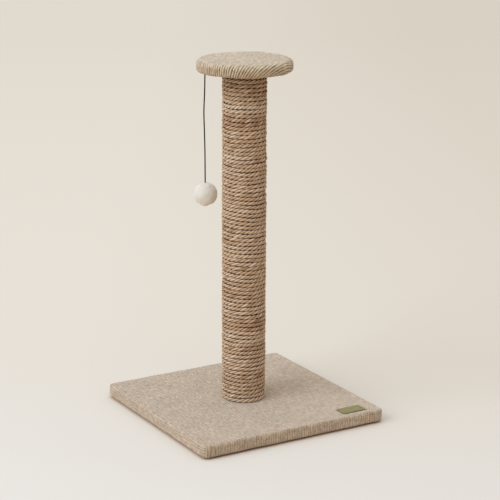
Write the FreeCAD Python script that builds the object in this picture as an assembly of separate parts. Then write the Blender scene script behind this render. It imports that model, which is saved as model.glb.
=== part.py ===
import FreeCAD, Part
import math
import os

from FreeCAD import Placement, Rotation, Vector

# Cat scratching post: a square covered base, a post wound with rope, a padded round top and a soft ball that
# hangs from the top on an elastic cord. Lengths are in millimetres and angles in degrees. The origin is the
# centre of the base on the floor, +Z is up, +X runs along the base's front edge and +Y points to the back.

# Base
base_side = 400.0
board_thickness = 19.0
board_corner_radius = 8.0
board_edge_radius = 2.0
cover_thickness = 3.0
hem_width = 45.0
liner_thickness = 1.5
liner_gap = 1.0
foot_diameter = 28.0
foot_thickness = 2.5

# Label sewn on the base near its front right corner
label_length = 52.0
label_width = 28.0
label_thickness = 1.0
label_corner_radius = 1.0
label_from_right = 33.0
label_from_front = 14.0

# Wire staples, the same size everywhere
staple_crown = 10.0
staple_leg = 10.0
staple_wire = 1.0
staples_per_base_side = 7
staples_round_top = 12

# Bolted joints between the base, the post and the top
bolt_diameter = 8.0
bolt_length = 45.0
bolt_hole_clearance = 0.5
thread_clearance = 0.05
hex_head_width = 13.0
hex_head_height = 5.3
washer_diameter = 24.0
washer_thickness = 2.0
recess_clearance = 1.0
head_sink = 0.7
insert_diameter = 12.0
insert_length = 25.0
insert_flange_diameter = 17.0
insert_flange_thickness = 1.5
round_head_diameter = 20.0
round_head_height = 4.3
square_neck_length = 4.0
square_neck_clearance = 0.1

# Post
post_height = 647.5
tube_bore = 65.0
tube_wall = 4.0
plug_thickness = 40.0
plug_clearance = 0.1
screws_per_plug = 4
screw_diameter = 4.0
screw_head_diameter = 8.0
screw_head_sink = 0.4
screw_tip_room = 2.5

# Rope wound on the post
rope_diameter = 7.5
rope_turn_gap = 0.55
rope_seat_gap = 0.3
rope_end_gap = 0.5
rope_start_angle = -30.0
rope_span_names = ("lower", "lower_middle", "upper_middle", "upper")
quarters_per_turn = 4
gap_points_per_turn = 96

# Share of the end turns' flat lie that is gone half way up the post
rope_even_share = 0.8

# Padded top
top_diameter = 185.0
top_thickness = 29.0
top_crown = 3.0
top_edge_band = 2.0
top_pad_lower_radius = 6.0
top_board_thickness = 12.0
top_hem_width = 30.0

# Ball on its elastic cord
toy_angle = 135.0
toy_inset = 15.0
cord_diameter = 2.5
cord_clearance = 0.3
cord_hang = 218.0
cord_bow = 1.9
cord_bow_angle = 149.5
cord_stub = 0.5
knot_diameter = 6.0
ball_diameter = 47.0
ball_wall = 4.0
ball_core_gap = 0.1
ball_knot_depth = 12.0

# Share of the cord's length from its upper end, and share of its bow there
cord_route_shares = ((0.0, 0.0), (0.24, 0.8), (0.5, 1.0), (0.76, 0.7), (1.0, 0.0))

# Share of the shorter run that an arc of the cord takes at a bend
cord_bend_share = 0.45

# How far a cutting shape runs past the face that it opens, and how near two heights count as the same
cut_overrun = 2.0
level_tolerance = 0.001

# Heights from the floor
board_floor = foot_thickness + cover_thickness
board_top = board_floor + board_thickness
base_top = board_top + cover_thickness
top_underside = base_top + post_height
top_board_floor = top_underside + cover_thickness
top_board_top = top_board_floor + top_board_thickness
washer_seat = board_floor + head_sink + hex_head_height + washer_thickness
cord_pivot_height = top_underside - cord_diameter / 2 - cord_clearance
ball_top = top_underside - cord_hang
ball_centre_height = ball_top - ball_diameter / 2

# Radii worked out from the sizes above
tube_radius = tube_bore / 2 + tube_wall
screw_face_radius = tube_radius - screw_head_sink
rope_coil_radius = tube_radius + rope_seat_gap + rope_diameter / 2
bolt_hole_radius = bolt_diameter / 2 + bolt_hole_clearance
washer_recess_radius = washer_diameter / 2 + recess_clearance
cord_hole_radius = cord_diameter / 2 + cord_clearance
top_lower_radius = top_pad_lower_radius + cover_thickness
top_board_radius = top_diameter / 2 - top_lower_radius
top_hem_radius = top_diameter / 2 - top_hem_width
toy_radius = top_diameter / 2 - toy_inset

up =Vector(0, 0, 1)
down = Vector(0, 0, -1)


def at_angle(angle, radius, height):
    """Point at a radius from the post's axis, at an angle from +X."""
    turn = math.radians(angle)
    return Vector(radius * math.cos(turn), radius * math.sin(turn), height)


def disc(radius, thickness, floor, place=Vector()):
    """Upright cylinder from the height floor, centred over place."""
    return Part.makeCylinder(radius, thickness, Vector(place.x, place.y, floor))


def drill(radius, floor, ceiling, place=Vector()):
    """Round upright hole between two heights, run past both by the overrun."""
    return disc(radius, ceiling - floor + 2 * cut_overrun, floor - cut_overrun, place)


def level_edges(shape, height):
    """Edges of a shape that lie at one height."""
    edges = []
    for edge in shape.Edges:
        box = edge.BoundBox
        if box.ZLength < level_tolerance and abs(box.ZMin - height) < level_tolerance:
            edges.append(edge)
    return edges


def rounded_plate(length, width, corner_radius, thickness, floor):
    """Plate with rounded upright corners, centred on the axis, from the height floor."""
    plate = Part.makeBox(length, width, thickness, Vector(-length / 2, -width / 2, floor))
    uprights = [edge for edge in plate.Edges if abs(edge.tangentAt(edge.FirstParameter).z) > 0.5]
    return plate.makeFillet(corner_radius, uprights)


def staple_at(place, crown_way, outward):
    """Staple whose crown lies flush at place along crown_way, with its legs driven in against outward."""
    crown = Part.makeBox(staple_crown, staple_wire, staple_wire,
                         Vector(-staple_crown / 2, -staple_wire / 2, -staple_wire))
    staple = crown
    for leg_place in (-staple_crown / 2, staple_crown / 2 - staple_wire):
        leg = Part.makeBox(staple_wire, staple_wire, staple_leg,
                           Vector(leg_place, -staple_wire / 2, -staple_leg))
        staple = staple.fuse(leg)
    staple = staple.removeSplitter()
    turn = Rotation(crown_way, outward.cross(crown_way), outward, "ZXY")
    staple.Placement = Placement(place, turn)
    return staple


# Base


def base_board_blank():
    """The base board before it is drilled, with its edges eased."""
    side = base_side - 2 * cover_thickness
    blank = rounded_plate(side, side, board_corner_radius, board_thickness, board_floor)
    rims = level_edges(blank, board_floor) + level_edges(blank, board_top)
    return blank.makeFillet(board_edge_radius, rims)


def base_board():
    """Board with a bolt hole at its centre and a recess below for the bolt's head and washer."""
    hole = drill(bolt_hole_radius, board_floor, board_top)
    recess = disc(washer_recess_radius, washer_seat - board_floor + cut_overrun, board_floor - cut_overrun)
    return base_board_blank().cut(hole).cut(recess)


def base_cover():
    """Fabric over the board's top and sides, turned under as a hem."""
    thickness = base_top - foot_thickness
    corner_radius = board_corner_radius + cover_thickness
    cover = rounded_plate(base_side, base_side, corner_radius, thickness, foot_thickness)
    rims = level_edges(cover, foot_thickness) + level_edges(cover, base_top)
    cover = cover.makeFillet(board_edge_radius + cover_thickness, rims)
    cover = cover.cut(base_board_blank())
    side = base_side - 2 * hem_width
    opening = rounded_plate(side, side, board_corner_radius, cover_thickness + cut_overrun,
                            foot_thickness - cut_overrun)
    return cover.cut(opening).cut(drill(bolt_hole_radius, board_top, base_top))


def base_liner():
    """Thin sheet that closes the underside within the hem, open at the bolt's recess."""
    side = base_side - 2 * (hem_width + liner_gap)
    floor = board_floor - liner_thickness
    liner = rounded_plate(side, side, board_corner_radius, liner_thickness, floor)
    return liner.cut(drill(washer_recess_radius, floor, board_floor))


def hem_middle():
    """Distance from the base's centre to the middle of the hem's flat band."""
    flat_edge = board_edge_radius + cover_thickness
    return base_side / 2 - (hem_width + flat_edge) / 2


def base_feet():
    """Four round pads on the hem's corners."""
    feet = []
    for x in (-hem_middle(), hem_middle()):
        for y in (-hem_middle(), hem_middle()):
            feet.append(disc(foot_diameter / 2, foot_thickness, 0, Vector(x, y, 0)))
    return Part.makeCompound(feet)


def base_staples():
    """A row of staples along each side's hem, between the feet."""
    reach = hem_middle() - foot_diameter
    step = 2 * reach / (staples_per_base_side - 1)
    staples = []
    for side in range(4):
        turn = Rotation(up, 90 * side)
        for index in range(staples_per_base_side):
            place = Vector(index * step - reach, -hem_middle(), foot_thickness)
            staples.append(staple_at(turn.multVec(place), turn.multVec(Vector(1, 0, 0)), down))
    return Part.makeCompound(staples)


def base_label():
    """Small woven tab lying flat on the base cover."""
    label = rounded_plate(label_length, label_width, label_corner_radius, label_thickness, base_top)
    label.translate(Vector(base_side / 2 - label_from_right - label_length / 2,
                           label_from_front + label_width / 2 - base_side / 2, 0))
    return label


# Fixings


def hex_bolt():
    """Hexagon bolt that points up, with the underside of its head against the washer."""
    head_top = washer_seat - washer_thickness
    head_floor = head_top - hex_head_height
    corner_radius = hex_head_width / math.sqrt(3)
    corners = [at_angle(60 * index, corner_radius, head_floor) for index in range(7)]
    head = Part.Face(Part.makePolygon(corners)).extrude(up * hex_head_height)
    return head.fuse(disc(bolt_diameter / 2, bolt_length, head_top)).removeSplitter()


def washer():
    """Wide washer against the ceiling of the recess in the base board."""
    floor = washer_seat - washer_thickness
    ring = disc(washer_diameter / 2, washer_thickness, floor)
    return ring.cut(drill(bolt_hole_radius, floor, washer_seat))


def round_head_seat():
    """Height of the underside of the top bolt's round head in its board."""
    return top_board_top - head_sink - round_head_height


def top_bolt():
    """Round-headed bolt with a square neck that points down from the top's board."""
    seat = round_head_seat()
    radius = round_head_diameter / 2
    rim = Vector(radius, 0, seat)
    crest = Vector(0, 0, seat + round_head_height)
    dome_radius = (radius ** 2 + round_head_height ** 2) / (2 * round_head_height)
    half_turn = math.asin(radius / dome_radius) / 2
    dome_centre = crest - up * dome_radius
    middle = dome_centre + Vector(math.sin(half_turn), 0, math.cos(half_turn)) * dome_radius
    centre = Vector(0, 0, seat)
    dome = Part.Arc(rim, middle, crest).toShape()
    outline = Part.Wire([Part.makeLine(centre, rim), dome, Part.makeLine(crest, centre)])
    head = Part.Face(outline).revolve(Vector(), up, 360)
    shank = disc(bolt_diameter / 2, bolt_length, seat - bolt_length)
    return head.fuse(square_neck(0)).fuse(shank).removeSplitter()


def square_neck(clearance):
    """The square under the top bolt's head, with room on each side."""
    side = bolt_diameter + 2 * clearance
    depth = square_neck_length + clearance
    return Part.makeBox(side, side, depth, Vector(-side / 2, -side / 2, round_head_seat() - depth))


# Ends of the post, drawn with the end face at height zero and the inside of the tube above it


def end_insert():
    """Flanged threaded insert, flush with the plug's end."""
    insert = disc(insert_diameter / 2, insert_length, 0)
    insert = insert.fuse(disc(insert_flange_diameter / 2, insert_flange_thickness, 0)).removeSplitter()
    return insert.cut(drill(bolt_diameter / 2 + thread_clearance, 0, insert_length))


def screw_angle(index):
    """Angle of one of a plug's screws."""
    return 360 / screws_per_plug * (index + 1 / 2)


def end_screws():
    """Countersunk screws driven in through the tube's wall, their tips short of the insert."""
    head_radius = screw_head_diameter / 2
    shank_radius = screw_diameter / 2
    length = screw_face_radius - insert_flange_diameter / 2 - screw_tip_room
    screws = []
    for index in range(screws_per_plug):
        inward = at_angle(screw_angle(index) + 180, 1, 0)
        place = at_angle(screw_angle(index), screw_face_radius, plug_thickness / 2)
        head = Part.makeCone(head_radius, shank_radius, head_radius - shank_radius, place, inward)
        shank = Part.makeCylinder(shank_radius, length, place, inward)
        screws.append(head.fuse(shank).removeSplitter())
    return screws


def end_plug():
    """Wooden plug, drilled for the insert, for the bolt's tip and for the screws."""
    plug = disc(tube_bore / 2 - plug_clearance, plug_thickness, 0)
    plug = plug.cut(drill(bolt_hole_radius, 0, plug_thickness))
    plug = plug.cut(disc(insert_diameter / 2, insert_length + cut_overrun, -cut_overrun))
    plug = plug.cut(disc(insert_flange_diameter / 2, insert_flange_thickness + cut_overrun, -cut_overrun))
    return plug.cut(end_screws())


def lower_end(shape):
    """Put an end piece at the foot of the post."""
    placed = shape.copy()
    placed.translate(up * base_top)
    return placed


def upper_end(shape):
    """Turn an end piece over and put it at the head of the post."""
    placed = shape.copy()
    placed.rotate(Vector(), Vector(1, 0, 0), 180)
    placed.translate(up * top_underside)
    return placed


def plug_screws():
    """All the screws of both plugs."""
    screws = end_screws()
    return Part.makeCompound([lower_end(screw) for screw in screws] + [upper_end(screw) for screw in screws])


def screw_holes():
    """The screws of one end with each head carried on past the tube's outside."""
    holes = []
    for index, screw in enumerate(end_screws()):
        angle = screw_angle(index)
        face = at_angle(angle, screw_face_radius, plug_thickness / 2)
        mouth = Part.makeCylinder(screw_head_diameter / 2, cut_overrun, face, at_angle(angle, 1, 0))
        holes.append(screw.fuse(mouth))
    return holes


def post_tube():
    """Card tube with countersunk holes for the plugs' screws."""
    tube = disc(tube_radius, post_height, base_top).cut(drill(tube_bore / 2, base_top, top_underside))
    holes = screw_holes()
    return tube.cut([lower_end(hole) for hole in holes] + [upper_end(hole) for hole in holes])


# Rope


def rope_climb():
    """Rise of the rope's middle line from its first turn to its last."""
    return post_height - rope_diameter - 2 * rope_end_gap


def rope_turns():
    """Turns of the whole winding: as many as fit, ending half a turn round from where they start."""
    most = rope_climb() / (rope_diameter + rope_turn_gap) + lag_wave(1 / 2)
    return math.floor(most - 1 / 2) + 1 / 2


def rope_pitch():
    """Mean rise of one turn, which shares the post's height out evenly."""
    return rope_climb() / (rope_turns() - lag_wave(1 / 2))


def lag_wave(turn):
    """Turns by which a climb that waits on one side and hurries on the other lags a steady one."""
    return (4 / 3 * math.sin(math.pi * turn) ** 2 + math.sin(4 * math.pi * turn) / 6) / math.pi


def lag_wave_slope(turn):
    """Change of the lag with the turn."""
    return 4 / 3 * math.sin(2 * math.pi * turn) + 2 / 3 * math.cos(4 * math.pi * turn)


def rope_flatness(turn):
    """How much of the lag a turn has: all of it at the rope's ends, least half way up."""
    return 1 - rope_even_share * math.sin(math.pi * turn / rope_turns()) ** 2


def rope_flatness_slope(turn):
    """Change of the flatness with the turn."""
    return -rope_even_share * math.pi / rope_turns() * math.sin(2 * math.pi * turn / rope_turns())


def rope_point(turn):
    """Point of the rope's middle line after a number of turns, which run clockwise seen from above."""
    climbed = turn - rope_flatness(turn) * lag_wave(turn)
    height = base_top + rope_end_gap + rope_diameter / 2 + rope_pitch() * climbed
    return at_angle(rope_start_angle - 360 * turn, rope_coil_radius, height)


def rope_way(turn):
    """Unit direction in which the rope runs after a number of turns."""
    lag_slope = rope_flatness(turn) * lag_wave_slope(turn) + rope_flatness_slope(turn) * lag_wave(turn)
    rise = rope_pitch() * (1 - lag_slope)
    way = at_angle(rope_start_angle - 360 * turn - 90, 2 * math.pi * rope_coil_radius, rise)
    return way.normalize()


def arc_edge(start, corner, end):
    """Arc from start to end whose tangents there meet at the corner."""
    middle = (start + end) / 2
    half_chord = (end - start).Length / 2
    to_corner = corner - middle
    half_turn = math.atan2(to_corner.Length, half_chord)
    crest = middle + to_corner.normalize() * (half_chord * math.tan(half_turn / 2))
    return Part.Arc(start, crest, end).toShape()


def biarc_edges(start, start_way, end, end_way):
    """Two arcs, tangent to each other, that leave start along start_way and reach end along end_way."""
    span = end - start
    bend = 2 * (1 - start_way.dot(end_way))
    along = span.dot(start_way + end_way)
    reach = (math.sqrt(along ** 2 + bend * span.dot(span)) - along) / bend
    first_corner = start + start_way * reach
    second_corner = end - end_way * reach
    joint = (first_corner + second_corner) / 2
    return [arc_edge(start, first_corner, joint), arc_edge(joint, second_corner, end)]


def rope_span_turns(span):
    """First and last turn of one span, in whole quarter turns."""
    quarters = rope_turns() * quarters_per_turn
    ends = [math.floor(quarters * index / len(rope_span_names)) for index in (span, span + 1)]
    return [end / quarters_per_turn for end in ends]


def rope_span_path(span):
    """Middle line of one span of turns; the rope's own two ends run on straight for one diameter."""
    first, last = rope_span_turns(span)
    edges = []
    if span == 0:
        edges.append(Part.makeLine(rope_point(first) - rope_way(first) * rope_diameter, rope_point(first)))
    for index in range(round((last - first) * quarters_per_turn)):
        start = first + index / quarters_per_turn
        end = start + 1 / quarters_per_turn
        edges += biarc_edges(rope_point(start), rope_way(start), rope_point(end), rope_way(end))
    if span == len(rope_span_names) - 1:
        edges.append(Part.makeLine(rope_point(last), rope_point(last) + rope_way(last) * rope_diameter))
    return Part.Wire(edges)


def tube_along(path, diameter):
    """Round tube of a diameter along a path."""
    first_edge = path.OrderedEdges[0]
    start = first_edge.valueAt(first_edge.FirstParameter)
    way = first_edge.tangentAt(first_edge.FirstParameter)
    ring = Part.Wire(Part.Circle(start, way, diameter / 2).toShape())
    return path.makePipeShell([ring], True, False)


def rope_least_gap(path, turns):
    """Least gap between one turn of a span and the next, measured on points of its middle line."""
    points = path.discretize(Number=round(gap_points_per_turn * turns) + 1)
    near = gap_points_per_turn // 8
    least = math.inf
    for index in range(len(points) - gap_points_per_turn - near):
        for other in range(index + gap_points_per_turn - near, index + gap_points_per_turn + near):
            least = min(least, (points[index] - points[other]).Length)
    return least - rope_diameter


def rope_spans():
    """The spans of the one rope, each an unbroken tube."""
    spans = {}
    for span, name in enumerate(rope_span_names):
        path = rope_span_path(span)
        spans["rope_turns_" + name] = tube_along(path, rope_diameter)
        first, last = rope_span_turns(span)
        gap = rope_least_gap(path, last - first)
        print(f"rope span {name}: {last - first} turns, least gap to itself {gap:.2f} mm")
    return spans


def rope_staples():
    """A staple through the rope's straight run at each end, into the tube."""
    staples = []
    for turn, run_way in ((0, -1), (rope_turns(), 1)):
        middle = rope_point(turn) + rope_way(turn) * (run_way * rope_diameter / 2)
        outward = Vector(middle.x, middle.y, 0).normalize()
        staples.append(staple_at(middle + outward * (rope_diameter / 2), up.cross(outward), outward))
    return Part.makeCompound(staples)


# Padded top


def top_form(inset):
    """Round solid of the padded top, drawn in by inset: flat below, a round rim, and crowned above."""
    rim_radius = top_diameter / 2
    crest_height = top_underside + top_thickness
    shoulder_radius = top_thickness - top_crown - top_lower_radius - top_edge_band
    shoulder_height = top_underside + top_lower_radius + top_edge_band
    shoulder = Vector(rim_radius - shoulder_radius, 0, shoulder_height)
    lower = Vector(rim_radius - top_lower_radius, 0, top_underside + top_lower_radius)
    rise = crest_height - shoulder_height
    crown_radius = (shoulder.x ** 2 + rise ** 2 - shoulder_radius ** 2) / (2 * (rise - shoulder_radius))
    crown = Vector(0, 0, crest_height - crown_radius)
    to_shoulder = (shoulder - crown).normalize()
    tilt = math.acos(to_shoulder.z)

    def round_point(centre, radius, angle):
        """Point of a round at an angle from straight up."""
        return centre + Vector(math.sin(angle), 0, math.cos(angle)) * (radius - inset)

    quarter = math.pi / 2
    floor = Vector(0, 0, top_underside + inset)
    lower_start = round_point(lower, top_lower_radius, 2 * quarter)
    lower_middle = round_point(lower, top_lower_radius, quarter * 3 / 2)
    lower_end_point = round_point(lower, top_lower_radius, quarter)
    shoulder_start = round_point(shoulder, shoulder_radius, quarter)
    shoulder_middle = round_point(shoulder, shoulder_radius, (quarter + tilt) / 2)
    shoulder_end = round_point(shoulder, shoulder_radius, tilt)
    crown_middle = round_point(crown, crown_radius, tilt / 2)
    crest = round_point(crown, crown_radius, 0)
    outline = [
        Part.makeLine(floor, lower_start),
        Part.Arc(lower_start, lower_middle, lower_end_point).toShape(),
        Part.makeLine(lower_end_point, shoulder_start),
        Part.Arc(shoulder_start, shoulder_middle, shoulder_end).toShape(),
        Part.Arc(shoulder_end, crown_middle, crest).toShape(),
        Part.makeLine(crest, floor),
    ]
    return Part.Face(Part.Wire(outline)).revolve(Vector(), up, 360)


def top_board_blank():
    """Round board of the top before it is drilled."""
    return disc(top_board_radius, top_board_thickness, top_board_floor)


def cord_place():
    """Place of the cord's hole, seen from above."""
    return at_angle(toy_angle, toy_radius, 0)


def knot_seat():
    """Height of the middle of the knot that holds the cord in the top's board."""
    return top_board_top - knot_diameter / 2 - cord_clearance


def top_board():
    """Board with the bolt's round and square recesses and the cord's hole with a pocket for its knot."""
    head_recess_radius = round_head_diameter / 2 + recess_clearance
    head_recess = disc(head_recess_radius, top_board_top - round_head_seat() + cut_overrun, round_head_seat())
    board = top_board_blank().cut(drill(bolt_hole_radius, top_board_floor, top_board_top))
    board = board.cut(head_recess).cut(square_neck(square_neck_clearance))
    pocket_radius = knot_diameter / 2 + cord_clearance
    pocket_floor = knot_seat() - pocket_radius
    pocket = disc(pocket_radius, top_board_top - pocket_floor + cut_overrun, pocket_floor, cord_place())
    return board.cut(pocket).cut(drill(cord_hole_radius, top_board_floor, top_board_top, cord_place()))


def top_cover():
    """Fabric over the padding, turned under as a hem, with the cord's hole."""
    cover = top_form(0).cut(top_form(cover_thickness))
    cover = cover.cut(disc(top_hem_radius, cover_thickness + cut_overrun, top_underside - cut_overrun))
    return cover.cut(drill(cord_hole_radius, top_underside, top_board_floor, cord_place()))


def top_foam():
    """Foam between the board and the cover, over the top and round the rim."""
    return top_form(cover_thickness).cut(top_board_blank())


def top_liner():
    """Felt disc in the hem's opening, which the post's head bears on."""
    liner = disc(top_hem_radius - liner_gap, cover_thickness, top_underside)
    return liner.cut(drill(bolt_hole_radius, top_underside, top_board_floor))


def top_staples():
    """Ring of staples through the hem into the board."""
    ring_radius = (top_hem_radius + top_board_radius) / 2
    staples = []
    for index in range(staples_round_top):
        angle = 360 / staples_round_top * index
        place = at_angle(angle, ring_radius, top_underside)
        staples.append(staple_at(place, at_angle(angle + 90, 1, 0), down))
    return Part.makeCompound(staples)


# Ball and cord


def cord_anchor():
    """Upper end of the cord: a knot on the top's board and the short length that comes down through it."""
    place = cord_place()
    knot = Part.makeSphere(knot_diameter / 2, place + up * knot_seat())
    return knot.fuse(disc(cord_diameter / 2, knot_seat() - top_underside, top_underside, place))


def cord_bend():
    """The bit of cord under the hole that bends when the ball swings."""
    return Part.makeSphere(cord_diameter / 2, cord_place() + up * cord_pivot_height)


def cord_upper_end():
    """Height at which the hanging cord starts, just under the bend."""
    return cord_pivot_height - cord_diameter / 2 - cord_clearance


def cord_route():
    """Points of the hanging cord from its upper end down to the ball, with its slight bow."""
    lower_height = ball_top + cord_stub + cord_clearance
    length = cord_upper_end() - lower_height
    bow_way = at_angle(cord_bow_angle, cord_bow, 0)
    points = []
    for length_share, bow_share in cord_route_shares:
        points.append(cord_place() + bow_way * bow_share + up * (cord_upper_end() - length * length_share))
    return points


def toy_cord():
    """Hanging cord: straight runs joined by arcs as large as the runs allow."""
    points = cord_route()
    edges = []
    start = points[0]
    for before, corner, after in zip(points, points[1:], points[2:]):
        way_in = (corner - before).normalize()
        way_out = (after - corner).normalize()
        reach = cord_bend_share * min((corner - before).Length, (after - corner).Length)
        turn = way_in.getAngle(way_out)
        print(f"cord bend radius {reach / math.tan(turn / 2):.0f} mm")
        arc_start = corner - way_in * reach
        arc_end = corner + way_out * reach
        edges.append(Part.makeLine(start, arc_start))
        edges.append(arc_edge(arc_start, corner, arc_end))
        start = arc_end
    edges.append(Part.makeLine(start, points[-1]))
    path = Part.Wire(edges)
    cord = tube_along(path, cord_diameter)
    plain_volume = math.pi * cord_diameter ** 2 / 4 * path.Length
    print(f"cord length {path.Length:.1f} mm")
    print(f"cord volume {cord.Volume:.2f} mm3, section times length {plain_volume:.2f} mm3")
    return cord


def ball_middle():
    """Centre of the ball."""
    return cord_place() + up * ball_centre_height


def end_knot_middle():
    """Centre of the knot inside the ball."""
    return cord_place() + up * (ball_top - ball_knot_depth)


def cord_end_knot():
    """Lower end of the cord: the knot inside the ball and the stub that shows above it."""
    knot = Part.makeSphere(knot_diameter / 2, end_knot_middle())
    floor = end_knot_middle().z
    return knot.fuse(disc(cord_diameter / 2, ball_top + cord_stub - floor, floor, cord_place()))


def cord_room():
    """Hollow for the knot in the ball and the bore above it."""
    room = Part.makeSphere(knot_diameter / 2 + cord_clearance, end_knot_middle())
    floor = end_knot_middle().z
    return room.fuse(disc(cord_hole_radius, ball_top + cut_overrun - floor, floor, cord_place()))


def ball_cover():
    """Felt shell of the ball."""
    shell = Part.makeSphere(ball_diameter / 2, ball_middle())
    shell = shell.cut(Part.makeSphere(ball_diameter / 2 - ball_wall, ball_middle()))
    return shell.cut(cord_room())


def ball_core():
    """Foam core of the ball round the cord's knot."""
    core = Part.makeSphere(ball_diameter / 2 - ball_wall - ball_core_gap, ball_middle())
    return core.cut(cord_room())


def all_pieces():
    """Every piece of the scratching post by its name."""
    pieces = {
        "base_board": base_board(),
        "base_cover": base_cover(),
        "base_liner": base_liner(),
        "base_feet": base_feet(),
        "base_staples": base_staples(),
        "base_label": base_label(),
        "base_bolt": hex_bolt(),
        "base_washer": washer(),
        "post_tube": post_tube(),
        "bottom_plug": lower_end(end_plug()),
        "top_plug": upper_end(end_plug()),
        "bottom_insert_nut": lower_end(end_insert()),
        "top_insert_nut": upper_end(end_insert()),
        "plug_screws": plug_screws(),
        "rope_staples": rope_staples(),
        "top_board": top_board(),
        "top_foam": top_foam(),
        "top_cover": top_cover(),
        "top_liner": top_liner(),
        "top_staples": top_staples(),
        "top_bolt": top_bolt(),
        "cord_anchor": cord_anchor(),
        "cord_bend": cord_bend(),
        "toy_cord": toy_cord(),
        "cord_end_knot": cord_end_knot(),
        "ball_cover": ball_cover(),
        "ball_core": ball_core(),
    }
    pieces.update(rope_spans())
    return pieces


os.makedirs("parts", exist_ok=True)
for name, shape in all_pieces().items():
    shape.exportStep(os.path.join("parts", name + ".step"))
    print(f"{name}: {len(shape.Solids)} solid(s), {shape.Volume / 1000:.2f} cm3, valid {shape.isValid()}")
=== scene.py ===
# %% [markdown]
# # A cat scratching post, dressed for the camera
#
# A square base covered in ribbed cloth carries a post wound with rope. A padded round top sits on
# the post, and a felt ball hangs from it on a thin elastic cord. The CAD frame holds the hard
# pieces at their real size. This lesson dresses it: each soft piece is worked out with numpy as a
# surface, laid where its solid is, and given a finish made of shader nodes. Lengths are in metres,
# and `mm` turns the maker's millimetres into them.

import bpy
import numpy as np
from mathutils import Matrix


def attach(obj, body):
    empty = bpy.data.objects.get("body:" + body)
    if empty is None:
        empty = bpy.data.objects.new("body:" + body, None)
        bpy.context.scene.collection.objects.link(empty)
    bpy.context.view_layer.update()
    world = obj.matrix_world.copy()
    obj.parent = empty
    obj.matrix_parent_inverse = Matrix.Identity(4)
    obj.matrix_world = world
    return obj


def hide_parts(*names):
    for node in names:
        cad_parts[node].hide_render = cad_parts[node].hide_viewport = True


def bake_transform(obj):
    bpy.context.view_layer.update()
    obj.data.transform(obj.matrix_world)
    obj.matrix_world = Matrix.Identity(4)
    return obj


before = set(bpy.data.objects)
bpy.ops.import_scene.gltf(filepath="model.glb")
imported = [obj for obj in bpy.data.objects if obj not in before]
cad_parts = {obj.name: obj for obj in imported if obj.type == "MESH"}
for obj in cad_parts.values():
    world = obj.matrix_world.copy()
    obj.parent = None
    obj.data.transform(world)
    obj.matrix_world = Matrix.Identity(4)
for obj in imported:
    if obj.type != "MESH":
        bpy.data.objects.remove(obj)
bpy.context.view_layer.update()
mm = 0.001
scene = bpy.context.scene

# %% [markdown]
# ## The camera
#
# The camera stands where the photograph was taken: to the left of the base's front, a little above
# it and far away, so the post's sides stay almost parallel. Its place was found by fitting the
# outline of the base, the post and the top. A camera could also be aimed with a Track To
# constraint, but a matrix built from three directions says exactly where it looks, and takes the
# photograph's slight tilt as well.

# %% Camera
camera_azimuth, camera_elevation, camera_tilt = np.radians([-30.83, 15.38, 0.27])
camera_aim, camera_distance = np.array([10.1, -6.0, 326.8]) * mm, 3407 * mm
upright = np.array([0, 0, 1])


def set_up(data, across, above, back, place=(0, 0, 0)):
    """Object whose matrix has these columns: its own right, up and back directions, and its place."""
    axes = np.eye(4)
    axes[:3] = np.stack([across, above, back, place], axis=1)
    thing = bpy.data.objects.new(data.name, data)
    thing.matrix_world = Matrix(axes.tolist())
    scene.collection.objects.link(thing)
    return thing


level_back = np.array([np.sin(camera_azimuth), -np.cos(camera_azimuth), 0])
back = level_back * np.cos(camera_elevation) + upright * np.sin(camera_elevation)
right = np.array([np.cos(camera_azimuth), np.sin(camera_azimuth), 0])
above = np.cross(back, right)
camera_data = bpy.data.cameras.new("photo_camera")
camera_data.sensor_width, camera_data.lens, camera_data.clip_end = 36, 126.8, 100
scene.camera = set_up(camera_data, right * np.cos(camera_tilt) + above * np.sin(camera_tilt),
                      above * np.cos(camera_tilt) - right * np.sin(camera_tilt), back,
                      camera_aim + back * camera_distance)
print("camera at", np.round(camera_aim + back * camera_distance, 3))

# %% [markdown]
# ## Helpers that turn arrays into meshes
#
# Every new piece here is a grid: a table of points in rows and columns. Blender could build such
# shapes from primitives and modifiers, but a grid worked out as one array keeps the cloth's ribs
# and the rope's strands in line with the mesh, so few faces show a lot. These helpers join
# coordinates into points, number a grid's faces and find its normals.


# %% Grid helpers
def together(*parts):
    """Points made of parts that are given apart, each spread over the whole table."""
    return np.stack(np.broadcast_arrays(*parts), axis=-1)


def full_turn(count):
    """Angles that share a full turn evenly."""
    return 2 * np.pi * np.arange(count) / count


def unit(vectors):
    """Vectors divided by their lengths."""
    return vectors / np.linalg.norm(vectors, axis=-1, keepdims=True)


def on_circle(radius, angle, height):
    """Points at a distance from the upright axis, an angle about it and a height."""
    return together(radius * np.cos(angle), radius * np.sin(angle), height)


def run_lengths(path):
    """Distance along a path from its first point to each point."""
    return np.concatenate([[0], np.cumsum(np.linalg.norm(np.diff(path, axis=0), axis=1))])


def grid_quads(rows, columns, loop_rows=False, loop_columns=False):
    """Corner numbers of a grid's quads, row by row; a looped side joins its last line to its first."""
    row = np.arange(rows if loop_rows else rows - 1)[:, None]
    column = np.arange(columns if loop_columns else columns - 1)
    next_row, next_column = (row + 1) % rows, (column + 1) % columns
    return together(row * columns + column, row * columns + next_column,
                    next_row * columns + next_column, next_row * columns + column).reshape(-1, 4)


def grid_chart(values):
    """Chart values at each quad's corners; a looped side's first line is repeated at its end."""
    rows, columns = values.shape[:2]
    return values.reshape(rows * columns, -1)[grid_quads(rows, columns)].reshape(-1, values.shape[2])


def grid_normals(points):
    """Unit normals of a grid: the cross product of its steps along the columns and the rows."""
    return unit(np.cross(np.gradient(points, axis=1), np.gradient(points, axis=0)))


# %% [markdown]
# `make_piece` puts whole arrays into a mesh at once, with a chart that patterns follow and marks
# that hold one value for each point. `describe` measures what was made: a closed skin has each edge
# once in each direction, and a positive enclosed volume says that its faces point outwards.


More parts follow.
